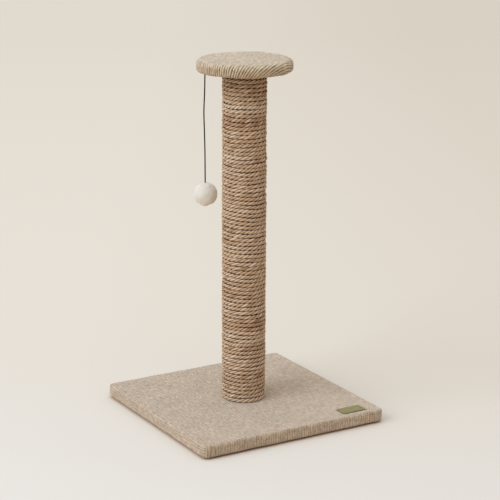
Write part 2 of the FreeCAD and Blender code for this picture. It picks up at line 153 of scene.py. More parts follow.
# %% Pieces
def describe(name, points, faces):
    """Print the triangles, whether edges pair up, and the volume: a sixth of the triple products."""
    starts = np.concatenate([block.ravel() for block in faces]).astype(np.int64)
    ends = np.concatenate([np.roll(block, -1, axis=1).ravel() for block in faces]).astype(np.int64)
    there, back_again = np.sort(starts * len(points) + ends), np.sort(ends * len(points) + starts)
    closed = len(there) == len(np.unique(there)) and np.array_equal(there, back_again)
    fans = np.concatenate([block[:, [0, corner, corner + 1]] for block in faces
                           for corner in range(1, block.shape[1] - 1)])
    first, second, third = points[fans.T]
    volume = np.einsum("ij,ij->", first, np.cross(second, third)) / 6
    print(f"{name}: {len(fans)} triangles, closed {closed}, volume {volume * 1e6:.2f} cm3")


def make_piece(name, points, faces, chart=None, marks=None):
    """Object from points, blocks of faces, the face corners' chart and the points' marks."""
    points = np.ascontiguousarray(points, dtype=np.float64).reshape(-1, 3)
    corners = np.concatenate([block.ravel() for block in faces])
    sizes = np.concatenate([np.full(len(block), block.shape[1]) for block in faces])
    mesh = bpy.data.meshes.new(name)
    mesh.vertices.add(len(points))
    mesh.vertices.foreach_set("co", points.astype(np.float32).ravel())
    mesh.loops.add(len(corners))
    mesh.loops.foreach_set("vertex_index", corners.astype(np.int32))
    mesh.polygons.add(len(sizes))
    mesh.polygons.foreach_set("loop_start", (np.cumsum(sizes) - sizes).astype(np.int32))
    mesh.update(calc_edges=True)
    if chart is not None:
        spare = np.zeros((len(corners) - len(chart), 2))
        layer = mesh.uv_layers.new(name="pattern")
        layer.data.foreach_set("uv", np.concatenate([chart, spare]).astype(np.float32).ravel())
    for mark, values in (marks or {}).items():
        attribute = mesh.attributes.new(mark, "FLOAT", "POINT")
        attribute.data.foreach_set("value", np.asarray(values, dtype=np.float32).ravel())
    piece = bpy.data.objects.new(name, mesh)
    scene.collection.objects.link(piece)
    describe(name, points, faces)
    return piece


def repeated(faces, count, points_each):
    """Faces of many copies of one small piece, whose points follow each other."""
    starts = np.arange(count)[:, None, None] * points_each
    return [(block + starts).reshape(-1, block.shape[1]) for block in faces]


# %% [markdown]
# Two more helpers serve several pieces. Hand work is never quite even, so `ripple` gives a smooth
# random field: a sum of sine waves in random directions, seeded so that every run is the same.
# `make_sheet` closes a cloth's front and back into one skin by a strip of triangles round their
# edges, even where the back has far fewer points than the front.


# %% Ripples and sheets
def ripple(places, wavelength, seed, waves=20):
    """Sum of sine waves in random directions, of about the given length, with a spread near one."""
    places = np.asarray(places, dtype=float)
    places = places[..., None] if places.ndim == 1 else places
    chance = np.random.default_rng(seed)
    ways = unit(chance.normal(size=(waves, places.shape[-1])))
    rates = 2 * np.pi / wavelength * chance.uniform(0.6, 1.5, (waves, 1))
    phases = chance.uniform(0, 2 * np.pi, waves)
    return np.sin(places @ (ways * rates).T + phases).sum(axis=-1) * np.sqrt(2 / waves)


def grid_rim(rows, columns):
    """Numbers of a grid's edge points in order round it, and how many belong to each side."""
    numbers = np.arange(rows * columns).reshape(rows, columns)
    sides = [numbers[0, :-1], numbers[:-1, -1], numbers[-1, :0:-1], numbers[:0:-1, 0]]
    return np.concatenate(sides), [len(side) for side in sides]


def shell_faces(front, back):
    """Faces of a closed skin: a front grid, a turned-over back grid, triangles between their rims."""
    front_rim, front_sides = grid_rim(*front)
    back_rim, back_sides = grid_rim(*back)
    offset = front[0] * front[1]
    matches = [sum(back_sides[:side]) + np.round(np.arange(count) * back_sides[side] / count)
               for side, count in enumerate(front_sides)]
    match = np.concatenate(matches).astype(int) % len(back_rim)
    after, match_after = np.roll(front_rim, -1), np.roll(match, -1)
    under, under_after = offset + back_rim[match], offset + back_rim[match_after]
    fan = together(after, front_rim, under)
    fill = together(after, under, under_after)[match != match_after]
    return [grid_quads(*front), grid_quads(*back)[:, ::-1] + offset, fan, fill]


def make_sheet(name, front, back, chart, marks=None):
    """Closed sheet from a front grid, a coarser back grid, and the front's chart."""
    points = np.concatenate([front.reshape(-1, 3), back.reshape(-1, 3)])
    faces = shell_faces(front.shape[:2], back.shape[:2])
    return make_piece(name, points, faces, grid_chart(chart), marks)


# %% [markdown]
# ## The toy's cord
#
# The ball hangs on a thin round elastic cord with a dark braided cover. It comes out of the top's
# underside near the rim, bows a little and goes into the ball. A bevelled curve would give a smooth
# rubber tube; here the curve is only the route, a NURBS line through the frame's own points, and a
# grid of rings along it carries the braid. The rings end in half spheres, so the upper end is round
# at the hole's mouth.

# %% Cord route
cord_radius = 1.25 * mm
cord_place = np.array([-54.801, 54.801, 0]) * mm
bow_reach, bow_heading = 1.9 * mm, np.radians(149.5)
pivot_height, cord_start, cord_end, cord_tip = np.array([673.45, 671.9, 457.8, 454.5]) * mm
bow_stops = np.array([(0, 0), (0.2, 0.35), (0.36, 1.35), (0.54, 0.6), (0.76, 0.1), (1, 0)])
run_share, bow_share = bow_stops.T[..., None]
cord_bow = bow_reach * np.array([np.cos(bow_heading), np.sin(bow_heading), 0])


def on_cord(height):
    """Point at a height on the upright line through the cord's hole."""
    return cord_place + upright * height


def smooth_line(control_points, steps):
    """Points along a NURBS line of order three that starts and ends on its control points."""
    curve = bpy.data.curves.new("route", "CURVE")
    curve.dimensions = "3D"
    spline = curve.splines.new("NURBS")
    spline.points.add(len(control_points) - 1)
    spline.points.foreach_set("co", np.c_[control_points, np.ones(len(control_points))].ravel())
    spline.order_u, spline.use_endpoint_u, spline.resolution_u = 3, True, steps
    holder = bpy.data.objects.new("route", curve)
    line = bpy.data.meshes.new_from_object(holder)
    points = np.empty(len(line.vertices) * 3)
    line.vertices.foreach_get("co", points)
    bpy.data.meshes.remove(line)
    bpy.data.objects.remove(holder)
    bpy.data.curves.remove(curve)
    return points.reshape(-1, 3)


hanging = on_cord(cord_start + (cord_end - cord_start) * run_share) + cord_bow * bow_share
cord_line = smooth_line(np.concatenate([[on_cord(pivot_height)], hanging, [on_cord(cord_tip)]]), 72)


# %% [markdown]
# A tube is a ring of points carried along a path and closed by a fan at each end. The braid on it
# is two sets of flat yarns that wind opposite ways and pass over and under each other. A rope of
# real yarns would need many thin tubes; at this size a relief is enough: two waves that run round
# the cord in opposite directions, of which the higher one shows.


# %% Tubes
def tube_rings(path, radius, around, reference):
    """Rings about a path: its points plus the radius times a turn from the reference's side."""
    way = unit(np.gradient(path, axis=0))
    side = unit(reference - np.sum(reference * way, axis=1, keepdims=True) * way)
    other = np.cross(way, side)
    angle = full_turn(around)[:, None]
    turn = np.cos(angle) * side[:, None] + np.sin(angle) * other[:, None]
    return path[:, None] + np.broadcast_to(radius, (len(path), around))[..., None] * turn


def run_on(path, reaches):
    """Path run on in a straight line at both ends, to each of the reaches."""
    start, end = unit(path[0] - path[1]), unit(path[-1] - path[-2])
    return np.concatenate([(path[0] + start * reaches)[::-1], path, path[-1] + end * reaches])


def round_ends(path, radius):
    """Path run on by half spheres at both ends, with the radius at each of its points."""
    lifts = np.radians([12, 32, 52, 68, 80, 87])
    shrink = radius * np.cos(lifts)
    girth = np.concatenate([shrink[::-1], np.full(len(path), radius), shrink])
    return run_on(path, radius * np.sin(lifts)[:, None]), girth


def capped_tube(rings, path):
    """Points and faces of a tube of rings, closed by fans from the path's first and last points."""
    rows, around = rings.shape[:2]
    ring = np.arange(around)
    after, last, tip = (ring + 1) % around, (rows - 1) * around, rows * around
    fans = [together(after, ring, tip), together(last + ring, last + after, tip + 1)]
    points = np.concatenate([rings.reshape(-1, 3), path[[0, -1]]])
    return points, [grid_quads(rows, around, loop_columns=True), *fans]


def tube_chart(path, around, radius):
    """Chart of a tube in metres: distance along the path, and distance round it."""
    round_run = np.arange(around + 1) / around * 2 * np.pi * radius
    return grid_chart(together(run_lengths(path)[:, None], round_run))


# %% Cord
sideways = np.array([1.0, 0, 0])


def braided_tube(name, line, radius, around=32, yarns=8, slope=1.05, relief=0.09):
    """Round-ended cord along a line; its relief is the higher of cos(n (a + w)) and cos(n (a - w))."""
    path, girth = round_ends(line, radius)
    angle, wind = full_turn(around), slope * run_lengths(path)[:, None] / radius
    braid = np.maximum(np.cos(yarns * (angle + wind)), np.cos(yarns * (angle - wind)))
    rings = tube_rings(path, girth[:, None] * (1 - relief + relief * braid), around, sideways)
    return make_piece(name, *capped_tube(rings, path), tube_chart(path, around, radius))


toy_cord = braided_tube("toy_cord_braid", cord_line, cord_radius)

# %% [markdown]
# A knot holds the cord at each end: one lies in a pocket of the top's board and the other inside
# the ball. Both are a tight trefoil, the loop that a plain overhand knot makes, with a short length
# of cord that leads to it.

# %% Knots
upper_knot_height, lower_knot_height, lower_lead_height = np.array([686.7, 445, 457.2]) * mm


def knot(name, height, lead_height, size=0.72 * mm, thread=0.85 * mm, around=16):
    """Trefoil loop (sin t + 2 sin 2t, cos t - 2 cos 2t, -sin 3t) with a lead of cord."""
    turn = np.linspace(0, 2 * np.pi, 96, endpoint=False)
    loop = size * together(np.sin(turn) + 2 * np.sin(2 * turn), np.cos(turn) - 2 * np.cos(2 * turn),
                           -np.sin(3 * turn))
    loop = np.concatenate([loop[-1:], loop, loop[:1]])
    rings = (on_cord(height) + tube_rings(loop, thread, around, loop))[1:-1]
    lead_line = np.linspace(on_cord(height), on_cord(lead_height), 12)
    lead, girth = round_ends(lead_line, cord_radius * 0.97)
    lead_points, lead_faces = capped_tube(tube_rings(lead, girth[:, None], around, sideways), lead)
    faces = [grid_quads(len(rings), around, loop_rows=True, loop_columns=True)]
    faces += [block + len(rings) * around for block in lead_faces]
    charts = [tube_chart(loop[:-1], around, thread), tube_chart(lead, around, cord_radius)]
    points = np.concatenate([rings.reshape(-1, 3), lead_points])
    return make_piece(name, points, faces, np.concatenate(charts))


upper_knot = knot("cord_upper_knot", upper_knot_height, pivot_height)
lower_knot = knot("cord_lower_knot", lower_knot_height, lower_lead_height)

# %% [markdown]
# ## The rope on the post
#
# One long rope of sisal, three strands laid together, is wound round the post close up. It climbs
# clockwise and lies flat towards the front, and its strands lean the same way as the strokes of a
# slash. A texture on a cylinder would look flat at the edges. So the rope is swept: its section is
# the outline of three overlapping strands, and that section turns as it runs along the winding, so
# that the mesh's own edges follow the strands.

# %% Winding
winding_turns, sections_per_turn, winding_start = 79.5, 152, np.radians(-30)
rope_foot, rope_rise = 31.75 * mm, 639 * mm
coil_radius, rope_radius, rope_flatness = 39.5 * mm, 4.2 * mm, 0.84
rope_tail, tail_steps, fade_turns, middle_slant = 7.5 * mm, 5, 1.5, 0.8
long_sway, short_sway, bulge = 0.55 * mm, 0.22 * mm, 0.28 * mm


def climb_lag(turn):
    """Turns by which the climb lags a steady one: it waits at the front and hurries at the back."""
    return (4 / 3 * np.sin(np.pi * turn) ** 2 + np.sin(4 * np.pi * turn) / 6) / np.pi


turn = np.arange(round(winding_turns * sections_per_turn) + 1) / sections_per_turn
angle = winding_start - 2 * np.pi * turn
flatness = 1 - middle_slant * np.sin(np.pi * turn / winding_turns) ** 2
pitch = rope_rise / (winding_turns - climb_lag(0.5))
rope_height = rope_foot + pitch * (turn - flatness * climb_lag(turn))
end_fade = np.clip(np.minimum(turn, winding_turns - turn) / fade_turns, 0, 1)
sway = long_sway * ripple(on_circle(coil_radius, angle, rope_height), 90 * mm, 11)
sway = sway + short_sway * ripple(turn, 0.45, 12)
stand_off = bulge * ripple(turn, 0.6, 13)
rope_middle = on_circle(coil_radius + stand_off * end_fade, angle, rope_height + sway * end_fade)
rope_line = run_on(rope_middle, (np.arange(tail_steps) + 1)[:, None] * rope_tail / tail_steps)
rope_run = run_lengths(rope_line)
print(f"rope: {rope_run[-1]:.2f} m on the post, pitch {pitch / mm:.2f} mm")

# %% [markdown]
# The section of a three-strand rope is the outline of three circles. Seen from the middle, a circle
# of radius r whose centre lies d away reaches d cos(a) + sqrt(r^2 - d^2 sin^2(a)) at the angle a
# from its centre. Hand-made rope isn't even: its girth, the length of its lay and each strand's
# thickness drift along it.

# %% Strands
around, lay_length = 24, 29 * mm
strand_size, strand_offset, third = 0.555, 0.445, 2 * np.pi / 3
lay_drift, girth_drift, strand_drift, hair_lift = 0.13, 0.045, 0.055, 0.09 * mm
column_angle = full_turn(around)
strand_of = np.round(column_angle / third).astype(int) % 3
from_crest = (column_angle + np.pi / 3) % third - np.pi / 3
outline = strand_offset * np.cos(from_crest)
outline = outline + np.sqrt(strand_size ** 2 - (strand_offset * np.sin(from_crest)) ** 2)


def by_strand(wavelength, seed):
    """A ripple along the rope for each strand, given to the columns of that strand."""
    strands = [ripple(rope_run, wavelength, seed + strand) for strand in range(3)]
    return together(*strands)[:, strand_of]


lay = lay_length * (1 + lay_drift * ripple(rope_run, 0.35, 21))
twist = -2 * np.pi * np.cumsum(np.gradient(rope_run) / lay)
girth = rope_radius * (1 + girth_drift * ripple(rope_run, 0.12, 22))
hairs = ripple(together(rope_run[:, None], 40 * column_angle * mm), 5 * mm, 27)
radius = girth[:, None] * outline * (1 + strand_drift * by_strand(0.045, 23)) + hair_lift * hairs
outward = unit(rope_line * np.array([1, 1, 0]))
rope_way = unit(np.gradient(rope_line, axis=0))
upward = np.cross(rope_way, outward)
section_turn = column_angle + twist[:, None]
rope_points = rope_line[:, None] + radius[..., None] * (
    rope_flatness * np.cos(section_turn)[..., None] * outward[:, None]
    + np.sin(section_turn)[..., None] * upward[:, None])
print(f"rope surface: {len(rope_points)} sections, {rope_run[-1] / lay_length:.0f} lays")

# %% [markdown]
# The finish paints shade into the rope's hollows and needs to know which strand it is on, so the
# mesh carries both as marks: painted shade in the groove between strands and in the gap between
# turns, and a tone that drifts along each strand. The frame holds the winding as four solids, so
# the rope is cut into the same four spans.
# Neighbours share the ring where they meet, so no joint shows.

# %% Rope spans
strand_shade_strength, turn_gap_shade_strength, strand_tone, rope_tone = 0.62, 0.95, 0.15, 0.08
span_turns = (19.75, 39.75, 59.5)
# Painted shade: the groove mark darkens the hollows between strands and the gaps between turns.
strand_groove = (1 - outline) / (1 - outline.min())
turn_gap = np.clip(1.25 - 1.9 * np.cos(section_turn), 0, 1)
tone = 0.5 + strand_tone * by_strand(0.22, 31) + rope_tone * ripple(rope_run, 1.9, 34)[:, None]
groove = 1 - (1 - strand_shade_strength * strand_groove) * (1 - turn_gap_shade_strength * turn_gap)
rope_marks = {"groove": groove, "tone": tone}
round_run = (np.append(column_angle, 2 * np.pi) + twist[:, None]) * rope_radius
rope_chart = together(rope_run[:, None], round_run)
span_names = ("lower", "lower_middle", "upper_middle", "upper")
span_ends = [0, *[tail_steps + round(turns * sections_per_turn) for turns in span_turns],
             len(rope_line) - 1]
rope_spans = []
for name, first, last in zip(span_names, span_ends, span_ends[1:]):
    rows = slice(first, last + 1)
    marks = {mark: np.append(values[rows], [0.5, 0.5]) for mark, values in rope_marks.items()}
    span = make_piece("rope_" + name, *capped_tube(rope_points[rows], rope_line[rows]),
                      grid_chart(rope_chart[rows]), marks)
    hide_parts("rope_turns_" + name)
    rope_spans.append(span)

# %% [markdown]
# Sisal is stiff, so loose fibres stand out of it everywhere. A particle system could grow them, but
# a few thousand thin tubes made in one array are the same on every run. Each fibre leaves the rope
# along its run, lifts off and curls a little, and gets thinner to its tip.


# %% Loose fibres
def loose_fibres(name, roots, out, along, lengths, lifts, curls, girth, rings=6, sides=3):
    """Tapering hairs: each runs along its way, and lifts and curls with the square of t."""
    t = np.linspace(0, 1, rings)[None, :, None]
    across = np.cross(out, along)
    bend = lifts[:, None] * out + curls[:, None] * across
    path = roots[:, None] + lengths[:, None, None] * (along[:, None] * t + bend[:, None] * t ** 2)
    angle = full_turn(sides)[:, None]
    ring = np.cos(angle) * out[:, None] + np.sin(angle) * across[:, None]
    points = path[:, :, None] + girth * (1 - 0.7 * t)[..., None] * ring[:, None]
    ends = np.array([[0, 1, 2], [2, 1, 0]]) + np.array([[0], [(rings - 1) * sides]])
    faces = [grid_quads(rings, sides, loop_columns=True)[:, ::-1], ends]
    return make_piece(name, points, repeated(faces, len(roots), rings * sides))


chance = np.random.default_rng(81)
fibre_count, spare_rows, root_depth, fibre_girth = 2200, 200, 0.75, 0.08 * mm
rows = chance.integers(spare_rows, len(rope_line) - spare_rows, fibre_count)
lean = chance.uniform(-1.0, 1.0, fibre_count)[:, None]
fibre_out = np.cos(lean) * outward[rows] + np.sin(lean) * upward[rows]
fibre_roots = rope_line[rows] + root_depth * rope_radius * (
    rope_flatness * np.cos(lean) * outward[rows] + np.sin(lean) * upward[rows])
fibre_way = rope_way[rows] * chance.choice([-1, 1], (fibre_count, 1))
fibre_lengths = chance.uniform(3, 9, fibre_count) * mm
fibre_lifts, fibre_curls = chance.uniform(0.15, 0.55, fibre_count), chance.normal(0, 0.25, fibre_count)
rope_fibres = loose_fibres("rope_loose_fibres", fibre_roots, fibre_out, fibre_way, fibre_lengths,
                           fibre_lifts, fibre_curls, fibre_girth)

# %% [markdown]
# ## The ribbed cloth
#
# The base and the top wear the same cloth, a stout weave with round ribs five millimetres apart. A
# bump map alone would leave the edges straight, so the ribs are in the mesh, one column of points
# after another across them, and the threads that cross them are left to the finish. A rib's surface
# lies |2f - 1|^2.2 times its depth below the crest, where f runs from 0 to 1 across it.

# %% Rib relief
rib_pitch, rib_power, wander_length = 5.2 * mm, 2.2, 55 * mm


def rib_relief(across, depth):
    """Height of the cloth below its crests at a distance across the ribs, never above them."""
    return -depth * np.abs(2 * (across / rib_pitch % 1) - 1) ** rib_power


def wander(across, along, reach, seed):
    """Sideways drift of the ribs: a ripple that changes three times as fast across as along them."""
    return reach * ripple(together(3 * across, along), wander_length, seed)


# %% [markdown]
# ## The base's cover
#
# The cloth lies over a board, goes over its rounded edges, down its sides and under it as a hem.
# One grid makes the whole cover, as the real one is one cut of cloth: columns run across the ribs
# and rows along them. Past the flat top, the larger of the two distances from the corner's middle
# says how far over the edge a point lies. At the corners, the two sides share a quarter turn, and
# the cloth meets in a fold half way round.

# %% Base cover, its rule
base_half, base_floor, base_top = 200 * mm, 2.5 * mm, 27.5 * mm
plan_corner, edge_round = 11 * mm, 5 * mm
hem_inner, hem_corner, fold_width = 155 * mm, 8 * mm, 1.1 * mm
straight = base_half - plan_corner
flat_rim = plan_corner - edge_round
quarter = edge_round * np.pi / 2
wall = base_top - base_floor - 2 * edge_round
hem_run = base_half - edge_round - hem_inner
edge_stops = np.cumsum([0, flat_rim, quarter, wall, quarter, hem_run])


def over_edge(run):
    """Corner centre, reach from it and height at a run past the flat: rim, round, wall, round, hem."""
    upper = np.clip((run - edge_stops[1]) / edge_round, 0, np.pi / 2)
    lower = np.clip((run - edge_stops[3]) / edge_round, 0, np.pi / 2)
    hem = np.clip((run - edge_stops[4]) / hem_run, 0, 1)
    down = np.clip(run - edge_stops[2], 0, wall)
    reach = np.minimum(run, flat_rim) + edge_round * (np.sin(upper) + np.cos(lower) - 1)
    reach = reach + (hem_corner - flat_rim) * hem
    centre = straight + (hem_inner - hem_corner - straight) * hem
    return centre, reach, base_top - edge_round * (1 - np.cos(upper) + np.sin(lower)) - down


def base_cloth(across, along):
    """Points of the cover at places across and along the ribs, rib and thread places, fold share."""
    flat_across, flat_along = [np.clip(place, -straight, straight) for place in (across, along)]
    past_across, past_along = [np.maximum(np.abs(place) - straight, 0) for place in (across, along)]
    run = np.maximum(past_across, past_along)
    small = np.minimum(past_across, past_along) / np.maximum(run, 1e-9) * np.pi / 4
    to_side = past_across >= past_along
    turn = np.where(to_side, small, np.pi / 2 - small)
    centre, reach, height = over_edge(run)
    x = flat_across * centre / straight + np.sign(across) * reach * np.cos(turn) * (run > 0)
    y = flat_along * centre / straight + np.sign(along) * reach * np.sin(turn) * (run > 0)
    round_front = flat_across + np.sign(across) * reach * (np.pi / 2 - turn)
    round_side = flat_along + np.sign(along) * reach * turn
    phase = np.where(~to_side & (past_across > 0), round_front, across)
    thread = np.where(to_side & (past_along > 0), round_side, along)
    folding = np.clip((run - flat_rim) / quarter, 0, 1) * (past_across > 0) * (past_along > 0)
    fold = np.exp(-((turn - np.pi / 4) * reach / fold_width) ** 2) * folding
    return together(x, y, height), phase, thread, fold


# %% Base cover, its cloth
def cut_lines(top_count, edge_count, hem_count):
    """Places of the grid's lines: some on the flat top, some over each edge and on each hem."""
    over = np.concatenate([np.linspace(0, edge_stops[4], edge_count + 1)[1:],
                           np.linspace(edge_stops[4], edge_stops[5], hem_count + 1)[1:]])
    flat = np.linspace(-straight, straight, top_count)
    return np.concatenate([-straight - over[::-1], flat, straight + over])


def thinned(lines, count):
    """A few of the grid's lines, the first and the last among them, for the cloth's unseen back."""
    return lines[np.linspace(0, len(lines) - 1, count).round().astype(int)]


across_lines = cut_lines(top_count=526, edge_count=50, hem_count=16)
along_lines = cut_lines(top_count=43, edge_count=18, hem_count=10)
rib_wander, slack_reach, slack_sink = 0.5 * mm, 0.16 * mm, 0.2 * mm
cloth_thickness, rib_depth, fold_depth = 2.3 * mm, 0.7 * mm, 0.55 * mm
cloth_points, phase, thread, fold = base_cloth(*np.meshgrid(across_lines, along_lines))
phase = phase + wander(phase, thread, rib_wander, 32)
slack = slack_reach * ripple(together(phase, thread), 70 * mm, 31) - slack_sink
cloth_lift = rib_relief(phase, rib_depth) + slack - fold_depth * fold
cloth_points = cloth_points + grid_normals(cloth_points) * cloth_lift[..., None]
cloth_back = base_cloth(*np.meshgrid(thinned(across_lines, 73), thinned(along_lines, 37)))[0]
cloth_back = cloth_back - grid_normals(cloth_back) * cloth_thickness
base_cover = make_sheet("base_cover_cloth", cloth_points, cloth_back, together(phase, thread))
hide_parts("base_cover")

# %% [markdown]
# ## The padded top
#
# A round board carries foam, and the same cloth is drawn over it and stapled underneath. The cut is
# a circle, so a point's distance from the middle of the flat cloth is its distance along the pad's
# outline: over the crown, round the shoulder, down the rim and under. That one rule makes the ribs
# run straight over the top, come down the front upright and lie along the rim at the sides, as they
# do on the real one. The spare cloth under the rim gathers in pleats.

# %% Top outline
top_floor, top_crest, top_radius, top_hem = np.array([675, 704, 91.2, 62.5]) * mm
shoulder_round, lower_round, shoulder_height = 11 * mm, 9 * mm, 690 * mm
shoulder_place, shoulder_rise = top_radius - shoulder_round, top_crest - shoulder_height
crown_chord = shoulder_place ** 2 + shoulder_rise ** 2 - shoulder_round ** 2
crown_round = crown_chord / (2 * (shoulder_rise - shoulder_round))
crown_tilt = np.arctan2(shoulder_place, shoulder_height - top_crest + crown_round)
arc_points = 48


def arc(place, height, radius, start, end):
    """Points of an arc in the pad's outline about a centre, by angles from straight up."""
    angle = np.linspace(start, end, arc_points)
    return together(place + radius * np.sin(angle), height + radius * np.cos(angle))


top_outline = np.concatenate([
    arc(0, top_crest - crown_round, crown_round, 0, crown_tilt),
    arc(shoulder_place, shoulder_height, shoulder_round, crown_tilt, np.pi / 2)[1:],
    arc(top_radius - lower_round, top_floor + lower_round, lower_round, np.pi / 2, np.pi),
    [[top_hem, top_floor]],
])
top_run = run_lengths(top_outline)
shoulder_run, rim_run, under_run = top_run[[arc_points - 1, 2 * arc_points - 2, -2]]
print(f"top cloth cut to {2 * top_run[-1] / mm:.0f} mm across")

# %% Top cloth
rib_heading = np.radians(-61)


def top_cloth(across, along):
    """Points of the pad's cloth: its flat radius runs along the outline, its flat angle turns it."""
    run = np.minimum(np.hypot(across, along), top_run[-1])
    turn = np.arctan2(along, across) + rib_heading
    radius = np.interp(run, top_run, top_outline[:, 0])
    height = np.interp(run, top_run, top_outline[:, 1])
    return on_circle(radius, turn, height), run, turn


# %% [markdown]
# Foam pushes the cloth out and the staples hold its edge, and between the two it finds its own
# shape. Blender's cloth solver does that on a coarse copy of the pad: the hem is pinned, the foam's
# push is a pressure, and the cloth is cut a little too large, so it puckers where it turns under.
# How far each point moved is then spread over the fine grid, and the copy is thrown away.

# %% Pad settles
settle_rings, settle_sectors, settle_frames, settle_limit = 30, 120, 24, 1.6 * mm
settle_settings = {
    "quality": 8, "mass": 0.4, "tension_stiffness": 60, "compression_stiffness": 60,
    "shear_stiffness": 30, "bending_stiffness": 4, "air_damping": 8, "shrink_min": -0.012,
    "use_pressure": True, "uniform_pressure_force": 3, "vertex_group_mass": "hem",
}


def settled_moves():
    """Moves of the coarse cloth's rings and sectors from its start to its rest."""
    run = top_run[-1] * np.arange(1, settle_rings + 1)[:, None] / settle_rings
    flat_turn = full_turn(settle_sectors)
    start = top_cloth(run * np.cos(flat_turn), run * np.sin(flat_turn))[0].reshape(-1, 3)
    start = np.concatenate([start, [upright * top_crest]])
    middle, ring = len(start) - 1, np.arange(settle_sectors)
    quads = grid_quads(settle_rings, settle_sectors, loop_columns=True)[:, ::-1]
    mesh = bpy.data.meshes.new("settling_cloth")
    fan = together(middle, ring, np.roll(ring, -1))
    mesh.from_pydata(start.tolist(), [], quads.tolist() + fan.tolist())
    copy = bpy.data.objects.new("settling_cloth", mesh)
    scene.collection.objects.link(copy)
    hem = list(range(middle - settle_sectors, middle))
    copy.vertex_groups.new(name="hem").add(hem, 1.0, "REPLACE")
    solver = copy.modifiers.new("cloth", "CLOTH")
    for setting, value in settle_settings.items():
        setattr(solver.settings, setting, value)
    solver.settings.effector_weights.gravity = 0
    solver.collision_settings.use_collision = False
    solver.point_cache.frame_end = settle_frames
    for frame_number in range(1, settle_frames + 1):
        scene.frame_set(frame_number)
    settled = copy.evaluated_get(bpy.context.evaluated_depsgraph_get()).to_mesh()
    end = np.empty(len(start) * 3)
    settled.vertices.foreach_get("co", end)
    scene.frame_set(1)
    bpy.data.objects.remove(copy)
    bpy.data.meshes.remove(mesh)
    move = end.reshape(-1, 3) - start
    move = move / np.sqrt(1 + np.sum(move ** 2, axis=-1, keepdims=True) / settle_limit ** 2)
    middle_move = np.tile(move[-1], (1, settle_sectors, 1))
    return np.concatenate([middle_move, move[:-1].reshape(settle_rings, -1, 3)])


# %% Moves over the fine grid
def spread_moves(moves, run, turn):
    """Moves of rings and sectors, carried in straight lines to places given by their run and turn."""
    row = run / top_run[-1] * settle_rings
    column = (turn - rib_heading) / (2 * np.pi) % 1 * settle_sectors
    row_before = np.minimum(row.astype(int), settle_rings - 1)
    column_before = column.astype(int) % settle_sectors
    column_after = (column_before + 1) % settle_sectors
    row_share, column_share = (row - row_before)[..., None], (column % 1)[..., None]
    inner, outer = [
        moves[ring, column_before] * (1 - column_share) + moves[ring, column_after] * column_share
        for ring in (row_before, row_before + 1)]
    return inner * (1 - row_share) + outer * row_share


moves = settled_moves()
print(f"pad settled by up to {np.linalg.norm(moves, axis=-1).max() / mm:.2f} mm")

# %% [markdown]
# The pad's grid is cut to the circle, so each row of points across the ribs is as long as the cloth
# is there. Its ribs, slack and pleats are added along the normals. A wall from its rim up to a flat
# ceiling closes it. A mark says where the finish paints shade on the pad's side, where the cloth is
# pulled tight: not at all on the crown, fully from the shoulder's end down.

# %% Top pad
edge_gap, pleat_count, pad_rib_depth, pleat_depth = 0.3 * mm, 46, 1.25 * mm, 0.55 * mm
gather_lead, gather_run, pad_columns, pad_rows = 6 * mm, 20 * mm, 451, 143
pad_wander, pad_slack_reach, pad_slack_sink = 0.25 * mm, 0.22 * mm, 0.25 * mm
reach, ceiling_height = top_run[-1] - edge_gap, top_floor + 2.9 * mm
across, along_share = np.meshgrid(np.linspace(-reach, reach, pad_columns),
                                  np.linspace(-1, 1, pad_rows))
along = along_share * np.sqrt(top_run[-1] ** 2 - across ** 2)
pad_points, run, turn = top_cloth(across, along)
gather = np.clip((run - under_run + gather_lead) / gather_run, 0, 1)
pleats = np.cos(pleat_count * turn + 1.5 * np.sin(3 * turn))
pad_slack = pad_slack_reach * ripple(pad_points, 45 * mm, 41) - pad_slack_sink
pad_phase = across + wander(across, along, pad_wander, 42)
pad_relief = rib_relief(pad_phase, pad_rib_depth) * (1 - 0.5 * gather) + pad_slack
pad_relief = pad_relief + pleat_depth * gather * (pleats - 1)
pad_points = pad_points + spread_moves(moves, run, turn)
pad_points = pad_points + grid_normals(pad_points) * pad_relief[..., None]
pad_grid = pad_points.shape[:2]
pad_points, rim = pad_points.reshape(-1, 3), grid_rim(*pad_grid)[0]
ceiling = pad_points[rim] * np.array([1, 1, 0]) + upright * ceiling_height
upper_rim, middle = len(pad_points) + np.arange(len(rim)), len(pad_points) + len(rim)
wall_faces = together(np.roll(rim, -1), rim, upper_rim, np.roll(upper_rim, -1))
ceiling_faces = together(np.roll(upper_rim, -1), upper_rim, middle)
# Painted shade mark for the pad's side: 0 on the crown, 1 from the shoulder's end down.
tight = np.clip((run - shoulder_run) / (rim_run - shoulder_run), 0, 1)
stretch_shade = np.append(tight, np.ones(len(rim) + 1))
pad_points = np.concatenate([pad_points, ceiling, [upright * ceiling_height]])
top_pad = make_piece("top_pad_cloth", pad_points,
                     [grid_quads(*pad_grid), wall_faces, ceiling_faces],
                     grid_chart(together(pad_phase, along)), {"stretch_shade": stretch_shade})
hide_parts("top_cover", "top_foam")

# %% [markdown]
# ## The ball
#
# The ball is felt: wool worked round a soft core until it mats. A sphere primitive would be too
# perfect, so the radius is a little uneven, in broad lumps and in small ones, and dips where the
# cord goes in.

